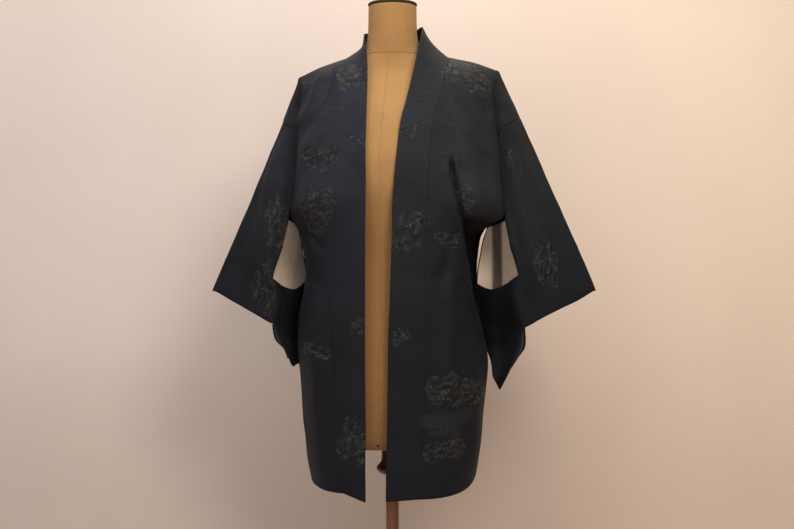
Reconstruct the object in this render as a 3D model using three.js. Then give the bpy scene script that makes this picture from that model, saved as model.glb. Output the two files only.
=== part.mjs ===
// A haori (short open kimono jacket) worn on a limbless dress form with a pole and a round base.
// Millimetres, +Z up, +X to the wearer's left, -Y to the front. The origin is the centre of the
// base's underside. The tables give the collar's outer face, from which its wall goes inwards, and
// the inner face of every other cloth piece.
import * as THREE from "three";

// ---------- Driving dimensions

const CLOTH = 1.6; // the two layers of a lined panel
const BAND = 3; // the collar is folded double
const LINING = 1;
const GAP = 0.3; // between pieces that are sewn together
const SLEEVE_SEAM = 1.7; // the same at the sleeve's seam, where the cloth turns sharply

const NECK_TOP_Z = 1490;
const FORM_BOTTOM_Z = 660;
const POLE_R = 12.25;
const BASE_R = 200;
const BASE_H = 26;

const BODY_COLUMNS = 10;
const LOWER_ROW_POINTS = 12;
// The hem's height at the collar's free edge, at its seam, at the side and at the centre back.
const HEM = {
  left: { edge: 573, seam: 577, side: 603, back: 634 },
  right: { edge: 571, seam: 586, side: 596, back: 634 },
};
const CENTRE_BACK_X = 8;
const MID_Y = 4; // the middle of the body's sections lies this far behind the pole's axis

// Horizontal sections of the dress form: half width, depth to the front and to the back.
const FORM_ROWS = [
  { z: 660, half: 148, front: 98, back: 98, square: 2.2 },
  { z: 700, half: 158, front: 103, back: 104, square: 2.2 },
  { z: 790, half: 161, front: 106, back: 106, square: 2.2 },
  { z: 870, half: 148, front: 102, back: 99, square: 2.2 },
  { z: 950, half: 124, front: 94, back: 84, square: 2.2 },
  { z: 1010, half: 113, front: 91, back: 76, square: 2.2 },
  { z: 1080, half: 122, front: 101, back: 80, square: 2.2 },
  { z: 1150, half: 138, front: 116, back: 87, square: 2.2 },
  { z: 1190, half: 143, front: 117, back: 90, square: 2.3 },
  { z: 1240, half: 145, front: 106, back: 91, square: 2.5 },
  { z: 1290, half: 154, front: 88, back: 86, square: 2.6 },
  { z: 1330, half: 155, front: 64, back: 72, square: 2.6 },
  { z: 1350, half: 140, front: 50, back: 58, square: 2.5 },
  { z: 1367, half: 110, front: 43, back: 50, square: 2.3 },
  { z: 1380, half: 82, front: 42, back: 47, square: 2.1 },
  { z: 1393, half: 63, front: 43, back: 46, square: 2 },
  { z: 1410, half: 52, front: 46, back: 45, square: 2 },
  { z: 1440, half: 46.5, front: 47, back: 44, square: 2 },
  { z: 1490, half: 45.5, front: 46, back: 43, square: 2 },
];

// The haori's sections below the armholes. seam and edge are where the collar's seam and its free
// edge lie across the front, and gusset is the width of the side wedge.
const BODY = {
  left: {
    sign: 1,
    rows: [
      { z: 573, half: 156, front: 131, back: 117, gusset: 64, seam: 49, edge: -12 },
      { z: 645, half: 164, front: 130, back: 117, gusset: 59, seam: 53, edge: -11 },
      { z: 730, half: 172, front: 129, back: 117, gusset: 54, seam: 57, edge: -9 },
      { z: 823, half: 180, front: 127, back: 116, gusset: 48, seam: 58, edge: -8 },
      { z: 880, half: 168, front: 126, back: 112, gusset: 42, seam: 58, edge: -7 },
      { z: 930, half: 160, front: 125, back: 107, gusset: 37, seam: 59, edge: -5 },
      { z: 990, half: 158, front: 123, back: 103, gusset: 31, seam: 60, edge: -3 },
      { z: 1055, half: 166, front: 124, back: 102, gusset: 25, seam: 62, edge: -1 },
    ],
  },
  right: {
    sign: -1,
    rows: [
      { z: 573, half: 152, front: 131, back: 117, gusset: 64, seam: 88, edge: 48 },
      { z: 645, half: 161, front: 130, back: 117, gusset: 59, seam: 93, edge: 48 },
      { z: 730, half: 170, front: 129, back: 117, gusset: 54, seam: 96, edge: 48 },
      { z: 810, half: 175, front: 127, back: 116, gusset: 49, seam: 100, edge: 49 },
      { z: 860, half: 179, front: 126, back: 112, gusset: 44, seam: 101, edge: 49 },
      { z: 910, half: 176, front: 125, back: 107, gusset: 39, seam: 102, edge: 49 },
      { z: 972, half: 163, front: 123, back: 103, gusset: 33, seam: 104, edge: 49 },
      { z: 1055, half: 174, front: 124, back: 102, gusset: 25, seam: 105, edge: 49 },
    ],
  },
};
const BODY_SQUARE = 2.5;

// The upper body, from the armhole's front end over the shoulder to its back end. Each row runs
// from the neck side (inner) over the chest or shoulder blade (mid) and the fold beside the
// armhole (fold) to the sleeve seam (outer).
const YOKE = {
  left: [
    { inner: [63, -121, 1112], mid: [140, -114, 1106], fold: [186, -90, 1100], outer: [205, -60, 1094] },
    { inner: [66, -119, 1170], mid: [142, -108, 1160], fold: [184, -84, 1154], outer: [203, -58, 1146] },
    { inner: [70, -111, 1228], mid: [144, -97, 1218], fold: [180, -76, 1210], outer: [200, -54, 1200] },
    { inner: [79, -99, 1282], mid: [146, -84, 1270], fold: [181, -65, 1260], outer: [199, -50, 1238] },
    { inner: [91, -84, 1322], mid: [150, -70, 1312], fold: [187, -47, 1292], outer: [209, -45, 1257] },
    { inner: [100, -60, 1357], mid: [154, -50, 1347], fold: [188, -34, 1330], outer: [227, -26, 1267] },
    { inner: [105, -30, 1382], mid: [160, -25, 1371], fold: [197, -16, 1352], outer: [239, -10, 1274] },
    { inner: [104, 0, 1393], mid: [160, 1, 1381], fold: [201, 1, 1367], outer: [243, 1, 1276] },
    { inner: [96, 28, 1396], mid: [156, 26, 1375], fold: [197, 20, 1353], outer: [239, 12, 1274] },
    { inner: [72, 56, 1400], mid: [146, 52, 1352], fold: [188, 40, 1330], outer: [227, 28, 1267] },
    { inner: [36, 75, 1403], mid: [130, 76, 1318], fold: [184, 56, 1292], outer: [209, 46, 1257] },
    { inner: [8, 83, 1404], mid: [118, 92, 1290], fold: [178, 73, 1256], outer: [200, 52, 1234] },
    { inner: [8, 92, 1330], mid: [116, 99, 1236], fold: [176, 84, 1206], outer: [201, 56, 1196] },
    { inner: [8, 98, 1250], mid: [118, 101, 1180], fold: [178, 86, 1152], outer: [203, 59, 1146] },
    { inner: [8, 102, 1160], mid: [116, 102, 1116], fold: [176, 87, 1100], outer: [205, 60, 1094] },
  ],
  right: [
    { inner: [105, -116, 1112], mid: [142, -107, 1106], fold: [172, -88, 1100], outer: [188, -58, 1094] },
    { inner: [106, -113, 1170], mid: [141, -101, 1160], fold: [168, -82, 1154], outer: [183, -56, 1146] },
    { inner: [107, -103, 1228], mid: [140, -91, 1218], fold: [164, -73, 1210], outer: [178, -52, 1200] },
    { inner: [104, -92, 1282], mid: [138, -79, 1272], fold: [163, -61, 1260], outer: [176, -48, 1240] },
    { inner: [101, -76, 1325], mid: [136, -64, 1312], fold: [164, -45, 1292], outer: [180, -42, 1252] },
    { inner: [98, -50, 1362], mid: [134, -44, 1348], fold: [164, -32, 1325], outer: [194, -24, 1261] },
    { inner: [91, -24, 1382], mid: [134, -21, 1366], fold: [172, -14, 1345], outer: [205, -9, 1266] },
    { inner: [86, 2, 1390], mid: [134, 2, 1373], fold: [177, 1, 1355], outer: [208, 1, 1268] },
    { inner: [80, 28, 1396], mid: [130, 26, 1368], fold: [172, 19, 1344], outer: [205, 11, 1266] },
    { inner: [60, 54, 1400], mid: [122, 52, 1348], fold: [165, 38, 1324], outer: [194, 26, 1261] },
    { inner: [22, 76, 1403], mid: [106, 76, 1316], fold: [160, 54, 1290], outer: [180, 44, 1252] },
    { inner: [-8, 83, 1404], mid: [96, 92, 1290], fold: [155, 72, 1256], outer: [177, 52, 1234] },
    { inner: [-8, 92, 1330], mid: [94, 99, 1236], fold: [155, 83, 1206], outer: [178, 56, 1196] },
    { inner: [-8, 98, 1250], mid: [96, 101, 1180], fold: [158, 85, 1152], outer: [183, 58, 1146] },
    { inner: [-8, 102, 1160], mid: [96, 102, 1116], fold: [160, 86, 1100], outer: [188, 59, 1094] },
  ],
};

// The collar's free edge beside each of the yoke's rows, whose inner ends are the collar's seam.
const COLLAR_EDGE = {
  left: [[0, -124, 1112], [4, -124, 1165], [9, -117, 1215], [15, -108, 1262], [25, -97, 1300], [36, -80, 1348],
    [47, -58, 1398], [55, -22, 1437], [56, 14, 1454], [44, 46, 1453], [24, 61, 1451]],
  right: [[48, -124, 1112], [48, -124, 1170], [48, -116, 1228], [47, -104, 1276], [46, -88, 1322],
    [46, -68, 1364], [49, -44, 1404], [53, -14, 1430], [52, 18, 1442], [38, 46, 1446], [20, 60, 1449]],
};
const COLLAR_CENTRE = [4, 65, 1450];
// How far the collar's middle bends towards the neck beside the same rows.
const COLLAR_DIP = {
  left: [0, 0, 0, 0, 0, 1, 3, 5, 5, 3, 1],
  right: [0, 0, 0, 0, 0, 2, 7, 12, 11, 7, 3],
};

// The sleeves. front and back are the folds beside the armhole and below it, outer is the top fold
// and then the cuff's corner, inner is the edge next to the body. The front layer has no inner part
// above the rim row. The sleeve's rows above the armhole's end start on the yoke's outer ends.
const SLEEVE = {
  left: [
    {
      at: "armhole",
      front: [207, -60, 1095], outer: [303, 1, 1139],
      back: [207, 60, 1091], inner: [188, 62, 1081],
    },
    {
      at: "window",
      front: [218, -59, 1036], outer: [328, 1, 1083],
      back: [216, 56, 1036], inner: [174, 48, 1036],
    },
    {
      at: "rim",
      front: [233, -56, 980], outer: [351, 1, 1031],
      back: [228, 52, 980], inner: [162, 32, 966],
    },
    {
      at: "bag",
      front: [232, -52, 934], outer: [368, 1, 992],
      back: [232, 48, 934], inner: [162, 42, 925],
    },
    {
      at: "cuff",
      front: [246, -46, 882], outer: [386, 1, 950],
      back: [244, 44, 882], inner: [169, 46, 880],
    },
    {
      at: "below",
      front: [244, -43, 879], outer: [251, -2, 880],
      back: [242, 40, 879], inner: [169, 45, 876],
    },
    {
      at: "corner",
      front: [236, -32, 846], outer: [251, 2, 842],
      back: [236, 32, 846], inner: [180, 42, 843],
    },
    {
      at: "low",
      front: [222, -20, 806], outer: [238, 2, 822],
      back: [222, 22, 806], inner: [189, 15, 812],
    },
    {
      at: "bottom",
      front: [204, -8, 764], outer: [226, 1, 804],
      back: [204, 8, 764], inner: [191, 3, 787],
    },
  ],
  right: [
    {
      at: "armhole",
      front: [190, -58, 1095], outer: [262, 1, 1137],
      back: [190, 59, 1091], inner: [178, 63, 1082],
    },
    {
      at: "window",
      front: [204, -57, 1034], outer: [286, 1, 1081],
      back: [202, 56, 1034], inner: [176, 50, 1034],
    },
    {
      at: "rim",
      front: [222, -54, 974], outer: [307, 1, 1030],
      back: [220, 50, 974], inner: [165, 32, 975],
    },
    {
      at: "bag",
      front: [214, -48, 934], outer: [323, 1, 992],
      back: [216, 46, 934], inner: [173, 45, 925],
    },
    {
      at: "cuff",
      front: [222, -42, 889], outer: [341, 1, 950],
      back: [222, 42, 889], inner: [178, 48, 884],
    },
    {
      at: "below",
      front: [220, -39, 886], outer: [227, -2, 887],
      back: [220, 38, 886], inner: [178, 48, 880],
    },
    {
      at: "corner",
      front: [208, -28, 858], outer: [222, 2, 858],
      back: [208, 28, 858], inner: [178, 51, 858],
    },
    {
      at: "low",
      front: [198, -18, 836], outer: [206, 2, 840],
      back: [198, 20, 836], inner: [176, 55, 836],
    },
    {
      at: "bottom",
      front: [190, -7, 808], outer: [199, 1, 822],
      back: [190, 7, 808], inner: [173, 58, 810],
    },
  ],
};
const TOP_FOLD = 4; // half the thickness of the sleeve's top fold
const BULGE = 7; // how far a sleeve layer rounds out between its folds
const RECESS = 10; // the bag's front lies this far behind the fold beside it
const RECESS_SHARE = 0.3; // where the recess lies on the way from the front fold to the inner edge
const BAG_BACK_SHARES = [0.35, 0.7]; // the bag's back columns, from the back fold to the inner edge
const LAYER_STEPS = 4; // columns of a sleeve's front or back layer
const BAG_COLUMNS = 3; // columns of the bag's front, and of its back
const SEAM_ROW = 4; // the yoke's row, counted from the armhole's end, where the sleeve's first row starts
const LINING_ROWS = { from: 4, to: 7 };
const LINING_START = 0.2; // the lining starts this far on the way from the first row to the next
const LINING_STEP = 2.9; // the lining lies this far in front of the back layer
const LINING_EDGE_INSET = 3; // the lining ends this far from the bag's inner edge

const CLOTH_LOOK = { color: 0x22262c, roughness: 0.62, metalness: 0 };
const LINING_LOOK = { color: 0xb09a80, roughness: 0.7, metalness: 0 };
const LINEN_LOOK = { color: 0xa9824a, roughness: 0.85, metalness: 0 };
const DARK_WOOD_LOOK = { color: 0x4a2a1a, roughness: 0.45, metalness: 0 };
const POLE_LOOK = { color: 0x7d5033, roughness: 0.5, metalness: 0 };
const CAP_LOOK = { color: 0x3a342e, roughness: 0.5, metalness: 0.2 };

// ---------- Small helpers

const vec = (p) => new THREE.Vector3(...p);
const mix = (a, b, t) => a.clone().lerp(b, t);

// A table's column at a height, smooth and without overshoot (monotone cubic).
function read(rows, column, z) {
  if (z <= rows[0].z) return rows[0][column];
  const last = rows.length - 1;
  if (z >= rows[last].z) return rows[last][column];
  const i = rows.findIndex((row, k) => k < last && z < rows[k + 1].z);
  const slope = (k) => (rows[k + 1][column] - rows[k][column]) / (rows[k + 1].z - rows[k].z);
  const tangent = (k) => {
    if (k === 0) return slope(0);
    if (k === last) return slope(last - 1);
    const [before, after] = [slope(k - 1), slope(k)];
    return before * after <= 0 ? 0 : (2 * before * after) / (before + after);
  };
  const step = rows[i + 1].z - rows[i].z;
  const t = (z - rows[i].z) / step;
  return (
    (2 * t ** 3 - 3 * t ** 2 + 1) * rows[i][column] +
    (t ** 3 - 2 * t ** 2 + t) * step * tangent(i) +
    (3 * t ** 2 - 2 * t ** 3) * rows[i + 1][column] +
    (t ** 3 - t ** 2) * step * tangent(i + 1)
  );
}

// Evenly spaced points along a smooth curve through the points given.
function smooth(points, steps) {
  return new THREE.CatmullRomCurve3(points, false, "centripetal").getSpacedPoints(steps);
}

// A grid from guide rows that all have the same number of points: each column becomes a smooth
// curve through the guides, with the wanted number of steps between each two of them.
function loftGuides(guides, stepsBetween) {
  const columns = guides[0].map((_, j) => {
    const curve = new THREE.CatmullRomCurve3(guides.map((row) => row[j]), false, "centripetal");
    const spans = guides.length - 1;
    const points = [];
    for (let k = 0; k < spans; k++)
      for (let i = 0; i < stepsBetween; i++) points.push(curve.getPoint((k + i / stepsBetween) / spans));
    points.push(guides[spans][j].clone());
    return points;
  });
  return columns[0].map((_, i) => columns.map((column) => column[i]));
}

// A closed wall from a grid of points on one of its faces. keep(i, j) says whether the cell from
// point (i, j) to (i + 1, j + 1) is cloth; cyclic joins the last column to the first; zip closes
// the last row, column j against its opposite. flip turns the outer side over.
function wall(grid, thickness, { keep = () => true, cyclic, zip, flip } = {}) {
  const [rows, columns] = [grid.length, grid[0].length];
  const wrap = (j) => (cyclic ? (j + columns) % columns : j);
  const cellColumns = cyclic ? columns : columns - 1;
  const used = (i, j) => {
    const column = cyclic ? wrap(j) : j;
    return i >= 0 && i < rows - 1 && column >= 0 && column < cellColumns && keep(i, column);
  };
  const normals = grid.map((row) => row.map(() => new THREE.Vector3()));
  const eachCell = (visit) => {
    for (let i = 0; i < rows - 1; i++)
      for (let j = 0; j < cellColumns; j++) if (used(i, j)) visit(i, j);
  };
  eachCell((i, j) => {
    const corners = [[i, j], [i, wrap(j + 1)], [i + 1, wrap(j + 1)], [i + 1, j]];
    const [a, b, c, d] = corners.map(([r, k]) => grid[r][k]);
    const normal = new THREE.Vector3().crossVectors(c.clone().sub(a), d.clone().sub(b)).normalize();
    for (const [r, k] of corners) normals[r][k].add(normal);
  });
  const sign = flip ? 1 : -1;
  const positions = [];
  const faceId = (i, j) => i * columns + wrap(j);
  const otherId = (i, j) => rows * columns + faceId(i, j);
  grid.forEach((row) => row.forEach((p) => positions.push(p.x, p.y, p.z)));
  grid.forEach((row, i) =>
    row.forEach((p, j) => {
      const other = p.clone().addScaledVector(normals[i][j].normalize(), sign * thickness);
      positions.push(other.x, other.y, other.z);
    }),
  );
  const index = [];
  const quad = (a, b, c, d) => index.push(a, b, c, a, c, d);
  eachCell((i, j) => {
    quad(faceId(i, j), faceId(i, j + 1), faceId(i + 1, j + 1), faceId(i + 1, j));
    quad(otherId(i, j), otherId(i + 1, j), otherId(i + 1, j + 1), otherId(i, j + 1));
    const zipped = zip && i === rows - 2;
    if (!used(i - 1, j)) quad(faceId(i, j), otherId(i, j), otherId(i, j + 1), faceId(i, j + 1));
    if (!used(i + 1, j) && !zipped)
      quad(faceId(i + 1, j + 1), otherId(i + 1, j + 1), otherId(i + 1, j), faceId(i + 1, j));
    if (!used(i, j - 1)) quad(faceId(i + 1, j), otherId(i + 1, j), otherId(i, j), faceId(i, j));
    if (!used(i, j + 1))
      quad(faceId(i, j + 1), otherId(i, j + 1), otherId(i + 1, j + 1), faceId(i + 1, j + 1));
  });
  if (zip)
    for (let j = 0; j < columns / 2; j++) {
      const [i, k] = [rows - 1, columns - 1 - j];
      const strip = (id, reverse) => {
        const ring = [id(i, j), id(i, j + 1), id(i, k), id(i, k + 1)];
        const triangles = j === 0 ? [[ring[0], ring[1], ring[2]]]
          : j === columns / 2 - 1 ? [[ring[0], ring[1], ring[3]]]
            : [[ring[0], ring[1], ring[2]], [ring[0], ring[2], ring[3]]];
        triangles.forEach(([a, b, c]) => (reverse ? index.push(a, c, b) : index.push(a, b, c)));
      };
      strip(faceId, false);
      strip(otherId, true);
    }
  if (flip)
    for (let t = 0; t < index.length; t += 3)
      [index[t + 1], index[t + 2]] = [index[t + 2], index[t + 1]];
  const geometry = new THREE.BufferGeometry();
  geometry.setAttribute("position", new THREE.Float32BufferAttribute(positions, 3));
  geometry.setIndex(index);
  return trimmed(geometry);
}

// The geometry without the vertices that no triangle uses.
function trimmed(geometry) {
  const flat = geometry.toNonIndexed();
  flat.computeVertexNormals();
  return flat;
}

function node(name, geometry, look) {
  const mesh = new THREE.Mesh(geometry, new THREE.MeshStandardMaterial(look));
  mesh.name = name;
  return mesh;
}

// ---------- Haori body

// A point of the body's section at a height. angle runs from -90 degrees (centre front) by 0 (the
// side) to 90 (centre back).
function sectionPoint(side, z, angle) {
  const { rows, sign } = BODY[side];
  const power = 2 / BODY_SQUARE;
  const depth = read(rows, angle < 0 ? "front" : "back", z) - (angle < 0 ? -MID_Y : MID_Y);
  return new THREE.Vector3(
    sign * read(rows, "half", z) * Math.cos(angle) ** power,
    MID_Y + Math.sign(angle) * depth * Math.abs(Math.sin(angle)) ** power,
    z,
  );
}

const angleAtX = (side, z, x) =>
  Math.acos(Math.min(1, (Math.abs(x) / read(BODY[side].rows, "half", z)) ** (BODY_SQUARE / 2)));

function angleAtGusset(side, z, half, front) {
  const depth = read(BODY[side].rows, front ? "front" : "back", z);
  return Math.asin((half / depth) ** (BODY_SQUARE / 2));
}

// The lower rows of a panel from its inner edge to the gusset, at the body's levels. The lowest
// row follows the hem.
function lowerRow(side, z, front) {
  const { rows, sign } = BODY[side];
  const hem = z === rows[0].z;
  const half = read(rows, "gusset", z) / 2 + GAP / 2;
  const outer = angleAtGusset(side, z, half, front);
  const innerX = front ? read(rows, "seam", z) + GAP / 2 : Math.max(0, sign * CENTRE_BACK_X + GAP / 2);
  const inner = angleAtX(side, z, innerX);
  const hemStart = front ? HEM[side].seam : HEM[side].back;
  const points = [];
  for (let k = 0; k <= LOWER_ROW_POINTS; k++) {
    const t = k / LOWER_ROW_POINTS;
    const angle = (front ? -1 : 1) * (inner + (outer - inner) * t);
    const point = sectionPoint(side, z, angle);
    if (hem) point.z = hemStart + (HEM[side].side - hemStart) * t ** 2;
    points.push(point);
  }
  if (!front && sign < 0) points.unshift(new THREE.Vector3(CENTRE_BACK_X - GAP / 2, points[0].y, points[0].z));
  return smooth(points, BODY_COLUMNS);
}

// A point of the yoke's table, mirrored for the wearer's right.
const placed = (side, p) => new THREE.Vector3(BODY[side].sign * p[0], p[1], p[2]);

// The point a little way from a towards b.
const inset = (a, b, distance) => mix(a, b, distance / a.distanceTo(b));

function yokeRow(side, row) {
  const [inner, mid, fold, outer] = ["inner", "mid", "fold", "outer"].map((key) => placed(side, row[key]));
  return smooth([inset(inner, mid, GAP / 2), mid, fold, inset(outer, fold, SLEEVE_SEAM)], BODY_COLUMNS);
}

function bodyGrid(side) {
  const levels = BODY[side].rows.map((row) => row.z);
  return loftGuides(
    [
      ...levels.map((z) => lowerRow(side, z, true)),
      ...YOKE[side].map((row) => yokeRow(side, row)),
      ...levels.map((z) => lowerRow(side, z, false)).reverse(),
    ],
    1,
  );
}

function gussetGrid(side) {
  const rows = BODY[side].rows.map(({ z }) => {
    const half = read(BODY[side].rows, "gusset", z) / 2 - GAP / 2;
    const [front, back] = [true, false].map((isFront) => angleAtGusset(side, z, half, isFront));
    return [-front, -front / 3, back / 3, back].map((angle) => {
      const point = sectionPoint(side, z, angle);
      if (z === BODY[side].rows[0].z) point.z = HEM[side].side;
      return point;
    });
  });
  return loftGuides(rows, 1);
}

// ---------- Collar

function collarGrid() {
  const frontRow = (side, z) => {
    const { rows, sign } = BODY[side];
    const [seam, edge] = [read(rows, "seam", z) - GAP / 2, read(rows, "edge", z)];
    return [seam, (seam + edge) / 2, edge].map((x) => {
      const point = sectionPoint(side, z, -angleAtX(side, z, x));
      point.x = sign * x;
      const share = (seam - x) / (seam - edge);
      if (z === rows[0].z) point.z = HEM[side].seam + (HEM[side].edge - HEM[side].seam) * share;
      return point;
    });
  };
  const band = (seam, edge, dip = 0) => {
    const middle = mix(seam, edge, 0.5).add(new THREE.Vector3(-dip, 0, 0));
    return [inset(seam, edge, GAP / 2), middle, edge];
  };
  const neckRows = (side) =>
    COLLAR_EDGE[side].map((edge, k) =>
      band(placed(side, YOKE[side][k].inner), placed(side, edge), BODY[side].sign * COLLAR_DIP[side][k]),
    );
  const half = (side) => [...BODY[side].rows.map((row) => frontRow(side, row.z)), ...neckRows(side)];
  const centre = band(vec(YOKE.left[COLLAR_EDGE.left.length].inner), vec(COLLAR_CENTRE));
  return loftGuides([...half("right"), centre, ...half("left").reverse()], 1);
}

// ---------- Sleeves

// One ring of a sleeve: inner edge, front of the bag, front fold, front layer, top fold, back
// layer, back fold, back of the bag.
function sleeveRing(side, row) {
  const [front, outer, back, inner] = ["front", "outer", "back", "inner"].map((key) => placed(side, row[key]));
  const fold = (way) => outer.clone().add(new THREE.Vector3(-BODY[side].sign * TOP_FOLD, way * TOP_FOLD, 0));
  const layer = (from, way) =>
    Array.from({ length: LAYER_STEPS }, (_, k) => {
      const t = k / LAYER_STEPS;
      return mix(from, fold(way), t).add(new THREE.Vector3(0, way * BULGE * Math.sin(Math.PI * t), 0));
    });
  const recess = mix(front, inner, RECESS_SHARE).add(new THREE.Vector3(0, RECESS, 0));
  return [
    inner, mix(inner, recess, 0.5), recess,
    ...layer(front, -1), fold(-1), outer, fold(1), ...layer(back, 1).reverse(),
    ...BAG_BACK_SHARES.map((share) => mix(back, inner, share)),
  ];
}

// The sleeve's rows above the armhole's end. Their folds are the yoke's outer ends, and the first
// row follows the seam over the shoulder.
function upperSleeveRows(side) {
  const ends = YOKE[side].map((row) => row.outer);
  const shoulder = (ends.length - 1) / 2;
  const low = SLEEVE[side][0];
  const rows = [];
  for (let k = SEAM_ROW; k > 0; k--) {
    const t = (SEAM_ROW - k) / SEAM_ROW;
    const outer = ends[shoulder].map((value, axis) => value + (low.outer[axis] - value) * t);
    const back = ends[ends.length - 1 - k];
    rows.push(sleeveRing(side, { front: ends[k], outer, back, inner: back }));
  }
  // The seam itself: the layers' points move onto the straight lines between the yoke's ends.
  const seam = (at) => {
    const k = Math.min(Math.floor(at), ends.length - 2);
    return mix(placed(side, ends[k]), placed(side, ends[k + 1]), at - k);
  };
  const foldColumn = BAG_COLUMNS + LAYER_STEPS;
  const span = shoulder - 1 - SEAM_ROW;
  for (let k = 0; k <= LAYER_STEPS; k++) {
    rows[0][BAG_COLUMNS + k] = seam(SEAM_ROW + (span * k) / LAYER_STEPS);
    rows[0][foldColumn + 2 + LAYER_STEPS - k] = seam(2 * shoulder - SEAM_ROW - (span * k) / LAYER_STEPS);
  }
  rows[0][foldColumn + 1] = seam(shoulder);
  return rows;
}

const sleeveGrid = (side) => [...upperSleeveRows(side), ...SLEEVE[side].map((row) => sleeveRing(side, row))];

// Which cells of a sleeve are cloth: the back layer's inner part starts at the armhole's end and the
// front's at the rim, and the cuff is open between the cuff row and the one below it.
function sleeveKeeps(side) {
  const rowAt = (name) => SEAM_ROW + SLEEVE[side].findIndex((row) => row.at === name);
  const columns = sleeveRing(side, SLEEVE[side][0]).length;
  return (i, j) => {
    const [bagFront, bagBack] = [j < BAG_COLUMNS, j >= columns - BAG_COLUMNS];
    if (i < rowAt("armhole")) return !bagFront && !bagBack;
    if (i < rowAt("rim")) return !bagFront;
    if (i === rowAt("cuff")) return bagFront || bagBack;
    return true;
  };
}

// The lining inside the back layer, from the armhole's end down to the bag.
function liningGrid(side) {
  const rows = sleeveGrid(side).slice(LINING_ROWS.from, LINING_ROWS.to + 1);
  rows[0] = rows[0].map((p, j) => mix(p, rows[1][j], LINING_START));
  const first = BAG_COLUMNS + LAYER_STEPS + 3;
  return rows.map((row) => {
    const line = [...row.slice(first), row[0]].map((p) => p.clone().add(new THREE.Vector3(0, -LINING_STEP, 0)));
    line[line.length - 1].x += BODY[side].sign * LINING_EDGE_INSET;
    return line;
  });
}

// ---------- Dress form and stand

function formGeometry() {
  const around = 36;
  const ring = (z) =>
    Array.from({ length: around }, (_, k) => {
      const angle = (k / around) * 2 * Math.PI;
      const power = 2 / read(FORM_ROWS, "square", z);
      const depth = read(FORM_ROWS, Math.sin(angle) < 0 ? "front" : "back", z);
      return new THREE.Vector3(
        Math.sign(Math.cos(angle)) * read(FORM_ROWS, "half", z) * Math.abs(Math.cos(angle)) ** power,
        Math.sign(Math.sin(angle)) * depth * Math.abs(Math.sin(angle)) ** power,
        z,
      );
    });
  const grid = loftGuides(FORM_ROWS.map((row) => ring(row.z)), 1);
  const positions = grid.flat().flatMap((p) => [p.x, p.y, p.z]);
  const index = [];
  const id = (i, j) => i * around + (j % around);
  for (let i = 0; i < grid.length - 1; i++)
    for (let j = 0; j < around; j++)
      index.push(id(i, j), id(i, j + 1), id(i + 1, j + 1), id(i, j), id(i + 1, j + 1), id(i + 1, j));
  for (const [i, z, up] of [[0, FORM_BOTTOM_Z, false], [grid.length - 1, NECK_TOP_Z, true]]) {
    const centre = positions.length / 3;
    positions.push(0, 0, z);
    for (let j = 0; j < around; j++) {
      const [first, second] = up ? [j, j + 1] : [j + 1, j];
      index.push(centre, id(i, first), id(i, second));
    }
  }
  const geometry = new THREE.BufferGeometry();
  geometry.setAttribute("position", new THREE.Float32BufferAttribute(positions, 3));
  geometry.setIndex(index);
  return trimmed(geometry);
}

// A turned piece from a profile of [radius, height] pairs, which starts and ends on the axis.
function turned(profile, segments = 32) {
  const geometry = new THREE.LatheGeometry(profile.map(([r, z]) => new THREE.Vector2(r, z)), segments);
  return geometry.rotateX(Math.PI / 2);
}

const TURNING_TOP = FORM_BOTTOM_Z - GAP;
const TURNING_PROFILE = [[0, 601], [14.5, 601], [25, 605.5], [30, 611], [30.5, 615], [27, 621],
  [21.5, 627], [21, 632], [21, TURNING_TOP - 8], [24, TURNING_TOP - 6], [24, TURNING_TOP], [0, TURNING_TOP]];
const CAP_PROFILE = [[0, NECK_TOP_Z + GAP], [45, NECK_TOP_Z + GAP], [46.5, NECK_TOP_Z + 1.5],
  [46, NECK_TOP_Z + 4.5], [43, NECK_TOP_Z + 6], [0, NECK_TOP_Z + 6]];
const KNOB_PROFILE = [[0, NECK_TOP_Z + 6.3], [24, NECK_TOP_Z + 6.3], [25, NECK_TOP_Z + 9],
  [22, NECK_TOP_Z + 12.5], [12, NECK_TOP_Z + 15], [0, NECK_TOP_Z + 16]];
const POLE_TOP_Z = TURNING_PROFILE[0][1] - GAP;
const POLE_PROFILE = [[0, BASE_H + GAP], [POLE_R, BASE_H + GAP], [POLE_R, POLE_TOP_Z], [0, POLE_TOP_Z]];
const BASE_PROFILE = [[0, 0], [BASE_R - 4, 0], [BASE_R, 4], [BASE_R, BASE_H - 10], [BASE_R - 6, BASE_H - 3],
  [BASE_R - 14, BASE_H], [30, BASE_H], [0, BASE_H]];

// ---------- Assembly

const root = new THREE.Group();
root.add(
  node("stand_base", turned(BASE_PROFILE, 48), DARK_WOOD_LOOK),
  node("stand_pole", turned(POLE_PROFILE), POLE_LOOK),
  node("stand_turning", turned(TURNING_PROFILE), DARK_WOOD_LOOK),
  node("form_torso", formGeometry(), LINEN_LOOK),
  node("form_neck_cap", turned(CAP_PROFILE), CAP_LOOK),
  node("form_neck_knob", turned(KNOB_PROFILE), CAP_LOOK),
  node("collar", wall(collarGrid(), BAND), CLOTH_LOOK),
);

for (const side of ["left", "right"]) {
  const flip = BODY[side].sign > 0;
  root.add(
    node(`body_${side}`, wall(bodyGrid(side), CLOTH, { flip }), CLOTH_LOOK),
    node(`gusset_${side}`, wall(gussetGrid(side), CLOTH, { flip }), CLOTH_LOOK),
    node(
      `sleeve_${side}`,
      wall(sleeveGrid(side), CLOTH, { keep: sleeveKeeps(side), cyclic: true, zip: true, flip: !flip }),
      CLOTH_LOOK,
    ),
    node(`sleeve_lining_${side}`, wall(liningGrid(side), LINING, { flip: !flip }), LINING_LOOK),
  );
}

export default root;
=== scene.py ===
import math

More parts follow.
